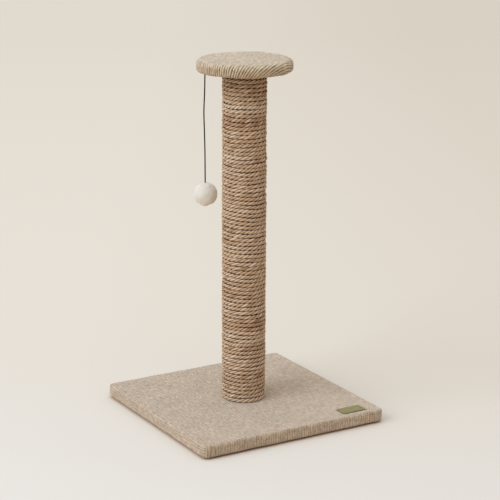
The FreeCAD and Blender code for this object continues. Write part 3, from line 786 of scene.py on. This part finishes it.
# %% Ball
ball_radius, ball_height, felt_slack = 23.5 * mm, 433.5 * mm, 0.3 * mm
dimple_depth, dimple_reach, broad_lump, small_lump = 1.3 * mm, 0.13, 0.26 * mm, 0.1 * mm
ball_rows, ball_columns = 132, 176
ball_middle = on_cord(ball_height)
polar = np.linspace(0, np.pi, ball_rows + 2)[1:-1, None]
ball_way = on_circle(np.sin(polar), full_turn(ball_columns), np.cos(polar))
lumps = broad_lump * ripple(ball_way * ball_radius, 17 * mm, 51)
lumps = lumps + small_lump * ripple(ball_way * ball_radius, 4.5 * mm, 52)
dimple = dimple_depth * np.exp(-(polar / dimple_reach) ** 2)
ball_skin = ball_middle + ball_way * (ball_radius - felt_slack + lumps - dimple)[..., None]
poles = ball_middle + upright * np.array([[ball_radius - felt_slack - dimple_depth],
                                          [felt_slack - ball_radius]])
ball_points, ball_faces = capped_tube(ball_skin, poles)
ball = make_piece("ball_felt", ball_points, [block[:, ::-1] for block in ball_faces])
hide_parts("ball_cover", "ball_core")

# %% [markdown]
# ## The label
#
# A small woven tab lies near the base's front right corner, sewn down round its edge. It is left
# bare. Its front is a grid that rounds off at the edges and sinks along the seam, and each stitch
# is a short round-ended thread; all the stitches are copies of one, placed together by adding an
# array of places.

# %% Label
label_middle, label_half, seam_inset = np.array([141, -172, 0]) * mm, np.array([26, 14]) * mm, 2.2 * mm
edge_lift, middle_lift, seam_depth, wave_lift, label_sink = 0.45, 0.8, 0.2, 0.09 * mm, 0.3 * mm
corner_trim, seam_width, back_step = 0.006, 0.9 * mm, 10
u, v = np.meshgrid(np.linspace(-1, 1, 131), np.linspace(-1, 1, 71))
rounding = 1 - corner_trim * np.abs(u * v) ** 12
label_x, label_y = u * label_half[0] * rounding, v * label_half[1] * rounding
edge = ((1 - np.abs(u) ** 60) * (1 - np.abs(v) ** 34)) ** 0.3
to_seam = np.minimum(np.abs(np.abs(label_x) - label_half[0] + seam_inset),
                     np.abs(np.abs(label_y) - label_half[1] + seam_inset))
seam_dip = seam_depth * np.exp(-(to_seam / seam_width) ** 2) * edge
label_height = base_top + (edge_lift + middle_lift * edge - seam_dip) * mm
label_height = label_height + wave_lift * ripple(together(label_x, label_y), 22 * mm, 61) * edge
label_front = together(label_x, label_y, label_height) + label_middle
label_back = together(label_x, label_y, base_top - label_sink) + label_middle
label_back = label_back[::back_step, ::back_step]
# Painted shade on the label's sides: the mark is 1 where the front rounds down, and on the back.
label_side_shade = np.append(np.clip((0.9 - edge) / 0.3, 0, 1), np.ones(label_back[..., 0].size))
label = make_sheet("base_label_tab", label_front, label_back, together(label_x, label_y),
                   {"label_side_shade": label_side_shade})
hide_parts("base_label")

# %% Label stitches
stitch_length, stitch_gap, thread_radius = 2.3 * mm, 1.1 * mm, 0.27 * mm
stitch_sink, stitch_lift = 0.28 * mm, 1.17 * mm
seam_half, seam_level = label_half - seam_inset, label_middle + upright * (base_top + stitch_lift)
stitch_run = np.linspace(-1, 1, 7)[:, None] * np.array([stitch_length / 2, 0, 0])
stitch_run[:, 2] = -stitch_sink * (stitch_run[:, 0] / (stitch_length / 2)) ** 4
stitch_path, stitch_girth = round_ends(stitch_run, thread_radius)
stitch_rings = tube_rings(stitch_path, stitch_girth[:, None], 8, np.array([0, 1.0, 0]))
stitch, stitch_faces = capped_tube(stitch_rings, stitch_path)
stitch_counts = np.round(2 * seam_half / (stitch_length + stitch_gap)).astype(int)
row_share, end_share = [(np.arange(count) + 0.5) / count * 2 - 1 for count in stitch_counts]
rows = np.concatenate([together(row_share * seam_half[0], side * seam_half[1], 0) for side in (-1, 1)])
ends = np.concatenate([together(side * seam_half[0], end_share * seam_half[1], 0) for side in (-1, 1)])
crosswise = stitch[:, [1, 0, 2]] * np.array([-1, 1, 1])
stitches = np.concatenate([rows[:, None] + stitch, ends[:, None] + crosswise])
seam = make_piece("base_label_stitches", stitches + seam_level,
                  repeated(stitch_faces, len(stitches), len(stitch)))
print("stitches:", len(stitches))

# %% [markdown]
# ## Liners underneath
#
# A thin black sheet closes the base's underside inside the hem, with a round opening at the bolt,
# and a felt disc fills the hem's opening under the top. Both are rings: a thin outline, out along
# the underside and back along the upper side, carried round from an inner circle to the outer edge.
# The square's edge is a circle drawn out by a high power, so its corners are slightly round.

# %% Liners
base_liner_half, top_liner_radius, corner_power = 154 * mm, 61.5 * mm, 44


def ring_sheet(name, inner, outer, floor, ceiling, steps, wrinkle, seed):
    """Sheet from an inner circle to an outer edge given by angle: a looped outline on each angle."""
    share, turn = np.linspace(0, 1, steps)[:, None], full_turn(outer.size)
    radius = inner + (outer - inner) * share
    plan = on_circle(radius, turn, 0)[..., :2]
    sag = wrinkle * ripple(plan, 38 * mm, seed) * np.sin(np.pi * share) ** 0.5
    points = np.concatenate([on_circle(radius, turn, floor + np.abs(sag)),
                             on_circle(radius, turn, ceiling)[::-1]])
    faces = grid_quads(2 * steps, outer.size, loop_rows=True, loop_columns=True)
    return make_piece(name, points, [faces])


sides = np.abs(together(np.cos(full_turn(480)), np.sin(full_turn(480)))) ** corner_power
square_edge = base_liner_half / sides.sum(axis=-1) ** (1 / corner_power)
base_liner = ring_sheet("base_liner_sheet", inner=13 * mm, outer=square_edge, floor=4.05 * mm,
                        ceiling=5.45 * mm, steps=40, wrinkle=0.35 * mm, seed=71)
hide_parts("base_liner")
round_edge = np.full(240, top_liner_radius)
top_liner = ring_sheet("top_liner_felt", inner=4.5 * mm, outer=round_edge, floor=675.05 * mm,
                       ceiling=677.85 * mm, steps=30, wrinkle=0.15 * mm, seed=72)
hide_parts("top_liner")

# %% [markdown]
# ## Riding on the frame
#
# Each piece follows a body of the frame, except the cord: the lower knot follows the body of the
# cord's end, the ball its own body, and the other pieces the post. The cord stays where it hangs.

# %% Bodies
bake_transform(toy_cord)
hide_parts("toy_cord", "cord_bend")
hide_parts("cord_anchor")
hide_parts("cord_end_knot")
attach(lower_knot, "cord_end")
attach(ball, "ball")
for piece in [upper_knot, *rope_spans, rope_fibres, base_cover, top_pad, label, seam, base_liner,
              top_liner]:
    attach(piece, "post")

# %% [markdown]
# ## Shader helpers
#
# A finish is a small tree of nodes. `put` adds a node, fills its inputs with values or links and
# gives back one of its outputs, or several. A `Value` wraps an output so that sums can be written
# as sums: each one adds a Math node to the same tree. Colours are given as they look on a screen
# and turned into the linear light that Blender works with.


# %% Values
class Value:
    """A node's output that can be added, multiplied and so on, with numbers or with other values."""

    def __init__(self, socket):
        self.socket, self.tree = socket, socket.id_data

    def __add__(self, other):
        return calc("ADD", self, other)

    def __sub__(self, other):
        return calc("SUBTRACT", self, other)

    def __rsub__(self, other):
        return calc("SUBTRACT", other, self)

    def __mul__(self, other):
        return calc("MULTIPLY", self, other)

    def __truediv__(self, other):
        return calc("DIVIDE", self, other)

    def __rtruediv__(self, other):
        return calc("DIVIDE", other, self)

    def __pow__(self, other):
        return calc("POWER", self, other)


# %% Nodes
def put(tree, kind, sockets=None, out=0, **settings):
    """Add a node, apply its settings, fill its inputs with values or links, and give its outputs."""
    node = tree.nodes.new("ShaderNode" + kind)
    for setting, value in settings.items():
        setattr(node, setting, value)
    for key, value in (sockets or {}).items():
        if isinstance(value, Value):
            link(value, node.inputs[key])
        else:
            node.inputs[key].default_value = value
    if isinstance(out, tuple):
        return [Value(node.outputs[each]) for each in out]
    return Value(node.outputs[out])


def link(value, socket):
    """Feed a value to an input in the same tree."""
    value.tree.links.new(value.socket, socket)


def calc(operation, first, second=0.0):
    """Result of a sum with one or two terms."""
    tree = (first if isinstance(first, Value) else second).tree
    return put(tree, "Math", {0: first, 1: second}, operation=operation)


def remap(value, low, high, to_low=0.0, to_high=1.0):
    """Value moved from one range to another and kept inside it."""
    return put(value.tree, "MapRange", {"Value": value, "From Min": low, "From Max": high,
                                        "To Min": to_low, "To Max": to_high})


def noise(place, scale, detail, roughness=0.5, distortion=0.0):
    """Smooth noise at a place, about a half."""
    return put(place.tree, "TexNoise", {"Vector": place, "Scale": scale, "Detail": detail,
                                        "Roughness": roughness, "Distortion": distortion})


# %% Colours and places
def paint(red, green, blue):
    """Linear colour from screen values of 0 to 255."""
    screen = np.array([red, green, blue]) / 255
    linear = np.where(screen <= 0.04045, screen / 12.92, ((screen + 0.055) / 1.055) ** 2.4)
    return (*linear.tolist(), 1.0)


def mix_colours(share, first, second):
    """Two colours mixed by a share."""
    return put(share.tree, "Mix", {0: share, 6: first, 7: second}, 2, data_type="RGBA")


def colour_ramp(value, stops):
    """Colour picked by a value from stops that give a screen colour for each place."""
    ramp = put(value.tree, "ValToRGB", {"Fac": value})
    elements = ramp.socket.node.color_ramp.elements
    while len(elements) < len(stops):
        elements.new(0.5)
    for element, (place, colour) in zip(elements, stops.items()):
        element.position, element.color = place, paint(*colour)
    return ramp


def scaled(vector, size):
    """Colour or place times a value."""
    return put(vector.tree, "VectorMath", {0: vector, "Scale": size}, operation="SCALE")


def turned(place, turn):
    """Place turned by angles about the three axes, so that its first part runs along the grain."""
    return put(place.tree, "Mapping", {"Vector": place, "Rotation": turn})


def split(place):
    """The first two parts of a place."""
    return put(place.tree, "SeparateXYZ", {0: place}, ("X", "Y"))


def join(x, y):
    """A place made of two parts."""
    return put(x.tree, "CombineXYZ", {"X": x, "Y": y})


def mark(place, name):
    """One of the values that the piece's own points carry."""
    return put(place.tree, "Attribute", None, "Fac", attribute_name=name)


# %% [markdown]
# ## Effects that several finishes share
#
# Three effects are built once as node groups. The rib weave knows the ribs and the threads that
# cross them, and gives each thread a tone of its own. Fibre streaks are noise that is drawn out
# along one way, for rope, cord, wood and brushed steel. Tone drift is broad uneven colour, as on
# anything that was dyed, grown or handled. A function for each places its group in a material, with
# that finish's own sizes.


# %% New groups
def new_group(name, sizes, results):
    """Function that places a new group, the group's inputs, and the sockets that take its results."""
    group = bpy.data.node_groups.new(name, "ShaderNodeTree")
    group.interface.new_socket("Place", in_out="INPUT", socket_type="NodeSocketVector")
    for names, in_out in ((sizes, "INPUT"), (results, "OUTPUT")):
        for socket_name in names:
            group.interface.new_socket(socket_name, in_out=in_out, socket_type="NodeSocketFloat")
    given = group.nodes.new("NodeGroupInput").outputs

    def placed(place, *values):
        """Results of the group at a place, with a finish's own values for its sizes."""
        sockets = {"Place": place, **dict(zip(sizes, values))}
        return put(place.tree, "Group", sockets, results if len(results) > 1 else 0, node_tree=group)

    inputs = [Value(given[socket_name]) for socket_name in ("Place", *sizes)]
    print("group:", name, sizes, "to", results)
    return placed, inputs, group.nodes.new("NodeGroupOutput").inputs


def off_middle(count):
    """Distance from the middle of a repeat, from 0 there to 1 at its edges."""
    return calc("ABSOLUTE", calc("FRACT", count) * 2.0 - 1.0)


# %% Rib weave
weave, (place, rib, thread), result = new_group("rib weave", ("Rib", "Thread"),
                                                ("Height", "Tone", "Groove"))
rib_place, thread_place = split(place)
rib_count = rib_place / rib
rib_number = calc("FLOOR", rib_count)
thread_count = thread_place / thread + calc("MODULO", rib_number, 2.0) * 0.5
groove = off_middle(rib_count) ** 1.6
thread_hump = 1.0 - off_middle(thread_count) ** 2.0
thread_cell = join(rib_number, calc("FLOOR", thread_count))
link(thread_hump * (1.0 - groove), result["Height"])
link(put(place.tree, "TexWhiteNoise", {"Vector": thread_cell}, noise_dimensions="2D"), result["Tone"])
link(groove, result["Groove"])

# %% Fibre streaks and tone drift
streaks, (place, along, across), result = new_group("fibre streaks", ("Along", "Across"), ("Streak",))
along_place, across_place = split(place)
drawn_out = noise(join(along_place / along, across_place / across), 1.0, 3.0, 0.6)
link(remap(drawn_out, 0.28, 0.72), result["Streak"])

drift, (place, size, spread), result = new_group("tone drift", ("Size", "Spread"), ("Tone",))
patches = noise(scaled(place, 1.0 / size), 1.0, 3.0, 0.55)
link((patches - 0.5) * 4.0 * spread + 1.0, result["Tone"])


# %% Finish helpers
def new_finish(name, on_chart=False, **constants):
    """Material with plain numbers on its shader's sockets, those sockets, and the place in metres."""
    material = bpy.data.materials.new(name)
    material.use_nodes = True
    tree = material.node_tree
    shader = tree.nodes["Principled BSDF"].inputs
    for socket, value in constants.items():
        shader[socket.replace("_", " ").title().replace("Ior", "IOR")].default_value = value
    print("finish:", name)
    place = put(tree, "UVMap", uv_map="pattern") if on_chart else put(tree, "TexCoord", out="Object")
    return material, shader, place


def coat(shader, colour, height, lift):
    """Give the shader a colour, and a bump that lifts the surface by the height times a lift."""
    link(colour, shader["Base Color"])
    if lift:
        link(put(colour.tree, "Bump", {"Height": height, "Distance": lift}), shader["Normal"])


def two_tone(shader, share, dark, light, lift=0.0, tone=None):
    """Coat between two screen colours by a share, times a tone, with the share as its bump."""
    colour = mix_colours(share, paint(*dark), paint(*light))
    coat(shader, scaled(colour, tone) if tone else colour, share, lift)


# %% [markdown]
# ## Cloth, rope, cord and felt
#
# The top and the base wear two copies of one cloth; the top's copy is lighter, partly painted light
# for the top, which stands nearer the light. Each mixes a lighter and a darker yarn, with thick
# places along the ribs, small flecks and a broad drift of tone, and painted shade darkens the
# grooves between its ribs. Where the top's cloth is pulled tight over the rim, its yarn turns darker
# and its grooves take more painted shade: painted shade on the pad's side. Rope is fibre: streaks
# run along it and some stretches are paler, and painted shade darkens the hollows between strands
# and turns. The cord's braid is almost black. Felt has no thread at all, only matted wool, with a
# soft sheen at its edge.

# %% Cloth finish
# Painted shade: the dark brown that the grooves between the cloth's ribs are mixed towards.
groove_shade_brown = paint(74, 46, 22)


def cloth_finish(name, dark_yarn, pale_yarn, groove_shade_strength, fleck_spread):
    """Ribbed cloth: two-tone yarns, painted groove shade with a strength, flecks with a spread."""
    material, shader, place = new_finish(name, True, roughness=0.95, specular_ior_level=0.1,
                                         sheen_weight=0.5, sheen_roughness=0.5)
    thread_height, thread_tone, groove = weave(place, rib_pitch, 1.7 * mm)
    fibres, slubs = streaks(place, 0.25 * mm, 0.9 * mm), streaks(place, 4.5 * mm, 13 * mm)
    # Painted shade on the pad's side: where the cloth is pulled tight, its yarn is drawn darker.
    stretch_shade = mark(place, "stretch_shade")
    yarn_share = (thread_tone * 0.3 + fibres * 0.2 + slubs * 0.5) * remap(stretch_shade, 0.0, 1.0, 1.0, 0.6)
    # Painted shade in the grooves, less where slubs stand and more on the pad's side.
    groove_shade_share = remap(slubs, 0.0, 1.0, groove_shade_strength * 1.3, groove_shade_strength * 0.35)
    groove_shade_share = groove ** 0.75 * (groove_shade_share * remap(stretch_shade, 0.0, 1.0, 1.0, 1.5))
    colour = mix_colours(yarn_share, paint(*dark_yarn), paint(*pale_yarn))
    colour = mix_colours(groove_shade_share, colour, groove_shade_brown)
    colour = scaled(scaled(colour, drift(place, 55 * mm, 0.1)), drift(place, 4.5 * mm, fleck_spread))
    coat(shader, colour, thread_height + fibres * 0.5, 0.35 * mm)
    return material


# The top's copy is lighter than the base's: partly painted light, as the top stands nearer the light.
top_cloth_finish = cloth_finish("top_cloth_finish", (210, 181, 139), (255, 250, 238), 0.64, 0.06)
base_cloth_finish = cloth_finish("base_cloth_finish", (170, 147, 122), (235, 219, 201), 0.44, 0.17)

# %% Rope finish
sisal, shader, place = new_finish("sisal_finish", True, roughness=0.9, specular_ior_level=0.06)
fibre_share = streaks(place, 26 * mm, 0.9 * mm) * 0.5 + streaks(place, 9 * mm, 0.22 * mm) * 0.5
rope_colour = colour_ramp(fibre_share * 0.55 + mark(place, "tone") * 0.45, {
    0.15: (142, 101, 71), 0.42: (204, 172, 142), 0.62: (229, 205, 181), 0.85: (242, 228, 211)})
# Painted shade: the hollows between strands and turns are mixed towards a dark brown.
rope_hollow_shade = remap(mark(place, "groove"), 0.1, 1.0)
coat(shader, mix_colours(rope_hollow_shade, rope_colour, paint(78, 42, 16)), fibre_share, 0.5 * mm)

loose_sisal, shader, place = new_finish("loose_sisal_finish", roughness=0.7, specular_ior_level=0.2)
two_tone(shader, streaks(place, 6 * mm, 6 * mm), (170, 138, 104), (228, 204, 174))

# %% Cord and felt finishes
dark_cord, shader, place = new_finish("dark_cord_finish", True, roughness=0.8, specular_ior_level=0.15)
two_tone(shader, streaks(place, 1.2 * mm, 0.3 * mm), (9, 8, 7), (26, 22, 20), 0.1 * mm)

white_felt, shader, place = new_finish(
    "white_felt_finish", roughness=0.95, sheen_weight=1.0, sheen_roughness=0.6, subsurface_weight=1.0,
    subsurface_radius=(1.0, 0.96, 0.92), subsurface_scale=40 * mm)
wool = remap(noise(place, 420.0, 5.0, 0.65, 1.2), 0.3, 0.7)
two_tone(shader, wool, (211, 209, 203), (231, 229, 225), 0.35 * mm, drift(place, 9 * mm, 0.05))

# %% [markdown]
# ## Label, liners and feet
#
# The label is a fine olive weave whose sides get painted shade, the liners are black fibre pressed
# into a sheet, and the feet are dark felt pads. They use the same groups with smaller pitches, so
# each has its own grain.

# %% Label finishes
olive_weave, shader, place = new_finish("olive_weave_finish", True, roughness=0.8, sheen_weight=0.2,
                                        sheen_roughness=0.5)
thread_height, thread_tone, groove = weave(place, 0.8 * mm, 0.55 * mm)
# The drift is the label's own tone; the darkening between its threads is painted shade.
shade = drift(place, 9 * mm, 0.2) * remap(groove, 0.0, 1.0, 1.0, 0.6)
label_colour = scaled(mix_colours(thread_tone, paint(131, 125, 71), paint(165, 158, 98)), shade)
# Painted shade: the label's sides are mixed towards a dark brown.
label_colour = mix_colours(mark(place, "label_side_shade"), label_colour, paint(62, 52, 36))
coat(shader, label_colour, thread_height, 0.15 * mm)

olive_thread, shader, place = new_finish("olive_thread_finish", roughness=0.6, sheen_weight=0.2)
two_tone(shader, streaks(place, 0.5 * mm, 0.4 * mm), (116, 112, 70), (160, 154, 106), 0.08 * mm)


# %% Dark fibre finishes
def pressed_fibre(name, dark, light, grain, lift):
    """Finish of short fibres pressed together: fine noise between two colours, lifted a little."""
    material, shader, place = new_finish(name, roughness=0.95, sheen_weight=0.15)
    fibres = remap(noise(place, 1 / grain, 4.0, distortion=1.5), 0.32, 0.68)
    two_tone(shader, fibres, dark, light, lift, drift(place, 30 * mm, 0.15))
    return material


liner_sheet = pressed_fibre("liner_finish", (30, 28, 27), (62, 59, 56), 1.6 * mm, 0.2 * mm)
foot_pad = pressed_fibre("foot_pad_finish", (24, 23, 22), (50, 48, 46), 0.9 * mm, 0.25 * mm)

# %% [markdown]
# ## Wood, card and steel
#
# These pieces stay as the frame's own solids, most of them out of sight inside. Wood and card are
# streaks along the grain with a drift of tone; chipboard is flakes, each with its own shade; zinc
# and staple wire are metal, with fine drawn lines that change how sharply they shine.


# %% Hard finishes
def grained(name, dark, light, along, across, turn):
    """Wood or card: streaks between two colours along the grain, with a drift of tone."""
    material, shader, place = new_finish(name, roughness=0.75)
    place = turned(place, turn)
    grain = streaks(place, along * mm, across * mm)
    two_tone(shader, grain, dark, light, 0.1 * mm, drift(place, 40 * mm, 0.12))
    return material


def drawn_steel(name, dark, light, turn):
    """Plated steel: fine lines of two greys that also change the roughness."""
    material, shader, place = new_finish(name, metallic=1.0)
    place = turned(place, turn)
    line = streaks(place, 6 * mm, 0.15 * mm)
    two_tone(shader, line, dark, light, 0.02 * mm, drift(place, 5 * mm, 0.12))
    link(remap(line, 0.0, 1.0, 0.28, 0.45), shader["Roughness"])
    return material


plywood = grained("plywood_finish", (196, 164, 122), (226, 199, 158), 60, 1.6, (0.0, 0.0, 0.3))
plug_wood = grained("plug_wood_finish", (190, 156, 110), (220, 190, 146), 45, 1.4,
                    (0.0, np.pi / 2, 0.0))
tube_card = grained("tube_card_finish", (146, 118, 86), (176, 148, 114), 20, 2.5, (0.0, 0.6, 0.0))
zinc = drawn_steel("zinc_finish", (166, 167, 170), (206, 207, 208), (0.0, 0.0, 0.0))
wire = drawn_steel("staple_wire_finish", (170, 170, 172), (214, 214, 214), (0.0, 0.0, 0.4))

# %% Chipboard
chipboard, shader, place = new_finish("chipboard_finish", roughness=0.85)
flakes = {"Vector": place, "Scale": 260.0, "Randomness": 1.0}
flake_depth, flake_colour = put(place.tree, "TexVoronoi", flakes, ("Distance", "Color"))
flake_tone = flake_depth * 0.6 + put(place.tree, "SeparateColor", {0: flake_colour}, "Red")
flake_colour = colour_ramp(flake_tone, {
    0.0: (126, 98, 66), 0.6: (176, 146, 106), 1.0: (206, 180, 140)})
coat(shader, flake_colour, flake_depth, 0.2 * mm)

# %% Dress every piece
finishes = {
    top_cloth_finish: [top_pad], base_cloth_finish: [base_cover], sisal: rope_spans,
    loose_sisal: [rope_fibres], dark_cord: [toy_cord, upper_knot, lower_knot], white_felt: [ball],
    olive_weave: [label], olive_thread: [seam], liner_sheet: [base_liner, top_liner],
}
node_finishes = {
    chipboard: ["base_board"], foot_pad: ["base_feet"],
    wire: ["base_staples", "rope_staples", "top_staples"],
    zinc: ["base_bolt", "base_washer", "bottom_insert_nut", "top_insert_nut", "plug_screws",
           "top_bolt"],
    tube_card: ["post_tube"], plug_wood: ["bottom_plug", "top_plug"], plywood: ["top_board"],
}
for material, dressed in finishes.items():
    for piece in dressed:
        piece.data.materials.append(material)
for material, nodes in node_finishes.items():
    for node in nodes:
        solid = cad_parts[node]
        solid.data.materials.clear()
        solid.data.materials.append(material)
counts = [sum(map(len, table.values())) for table in (finishes, node_finishes)]
print(f"dressed {counts[0]} new pieces and {counts[1]} nodes of the frame")

# %% [markdown]
# ## Floor and light
#
# The post stands on a plain pale floor under soft studio light. The floor runs on past the
# picture's edges, so no wall is needed. Its colour gets a little warmer and darker towards the back
# and from left to right, a painted fall-off of the light, and brown close under the base, a painted
# contact shadow. The light that it throws back is that of a tan floor, so that what faces down stays
# in the shade: Light Path tells the rays that see the floor from those that only bounce off it.

# %% Floor
floor_half = 30.0
near_depth, far_depth, left_side, right_side, contact_shadow_reach = -0.7, 5.0, -0.4, 0.8, 10 * mm
bounce_tan, contact_shadow_brown = paint(208, 189, 164), paint(222, 182, 146)
floor_mesh = bpy.data.meshes.new("floor")
floor_corners = np.array([[-1, -1, 0], [1, -1, 0], [1, 1, 0], [-1, 1, 0]]) * floor_half
floor_mesh.from_pydata(floor_corners.tolist(), [], [(0, 1, 2, 3)])
floor = bpy.data.objects.new("floor", floor_mesh)
scene.collection.objects.link(floor)
floor_finish, shader, place = new_finish("pale_floor_finish", roughness=0.9)
tree = place.tree
sideways_place, depth_place = split(turned(place, (0.0, 0.0, -camera_azimuth)))
# Painted fall-off of the light: the floor darkens and warms towards the back and to the right.
floor_colour = colour_ramp(remap(depth_place, near_depth, far_depth), {
    0.0: (236, 236, 237), 0.18: (232, 228, 222), 1.0: (225, 220, 212)})
falloff_share = remap(sideways_place, left_side, right_side)
falloff_tint = mix_colours(falloff_share, (1.0, 1.0, 1.0, 1.0), (0.92, 0.9, 0.87, 1.0))
shown_colour = put(tree, "VectorMath", {0: floor_colour, 1: falloff_tint}, operation="MULTIPLY")
# Painted contact shadow: the floor turns brown close under the base, by ambient occlusion.
openness = put(tree, "AmbientOcclusion", {"Distance": contact_shadow_reach}, "AO")
shown_colour = mix_colours(remap(openness, 0.0, 0.85, 1.0, 0.0), shown_colour, contact_shadow_brown)
camera_ray, glossy_ray, clear_ray = put(tree, "LightPath", None,
                                        ("Is Camera Ray", "Is Glossy Ray", "Is Transmission Ray"))
seen = calc("MAXIMUM", calc("MAXIMUM", camera_ray, glossy_ray), clear_ray)
link(mix_colours(seen, bounce_tan, shown_colour), shader["Base Color"])
floor_mesh.materials.append(floor_finish)
print(f"floor {2 * floor_half:.0f} m across")

# %% [markdown]
# A low sun stands to the left of the camera. It is very broad, as a large window is, so the side of
# the post away from it darkens softly and its shadow has no edge. The sky fills in the rest and is
# brighter overhead, so what faces up is lit best. Sun and sky together are a plain level of light,
# at which a colour looks as it is written.

# %% Light
key_height, key_left, key_breadth = np.radians([28, 57, 50])
key_strength, key_colour = 1.55, (0.87, 0.95, 1.0)
key_level = np.cos(key_left) * level_back - np.sin(key_left) * right
key_way = np.cos(key_height) * key_level + np.sin(key_height) * upright
sun_data = bpy.data.lights.new("key_sun", "SUN")
sun_data.energy, sun_data.angle, sun_data.color = key_strength, key_breadth, key_colour
sun_across = unit(np.cross(upright, key_way))
set_up(sun_data, sun_across, np.cross(key_way, sun_across), key_way)
print("sun comes from", np.round(key_way, 2))

# %% Sky
sky_colour, sky_low, sky_high = (1.0, 0.95, 0.885, 1.0), 0.2, 1.1
scene.world = bpy.data.worlds.new("studio")
scene.world.use_nodes = True
tree = scene.world.node_tree
sky = tree.nodes["Background"].inputs
sky["Color"].default_value = sky_colour
sky_height = put(tree, "SeparateXYZ", {0: put(tree, "TexCoord", out="Generated")}, "Z")
link(remap(sky_height, 0.0, 1.0, sky_low, sky_high), sky["Strength"])
scene.view_settings.view_transform = "Standard"
print(f"sky from {sky_low} at the horizon to {sky_high} overhead")
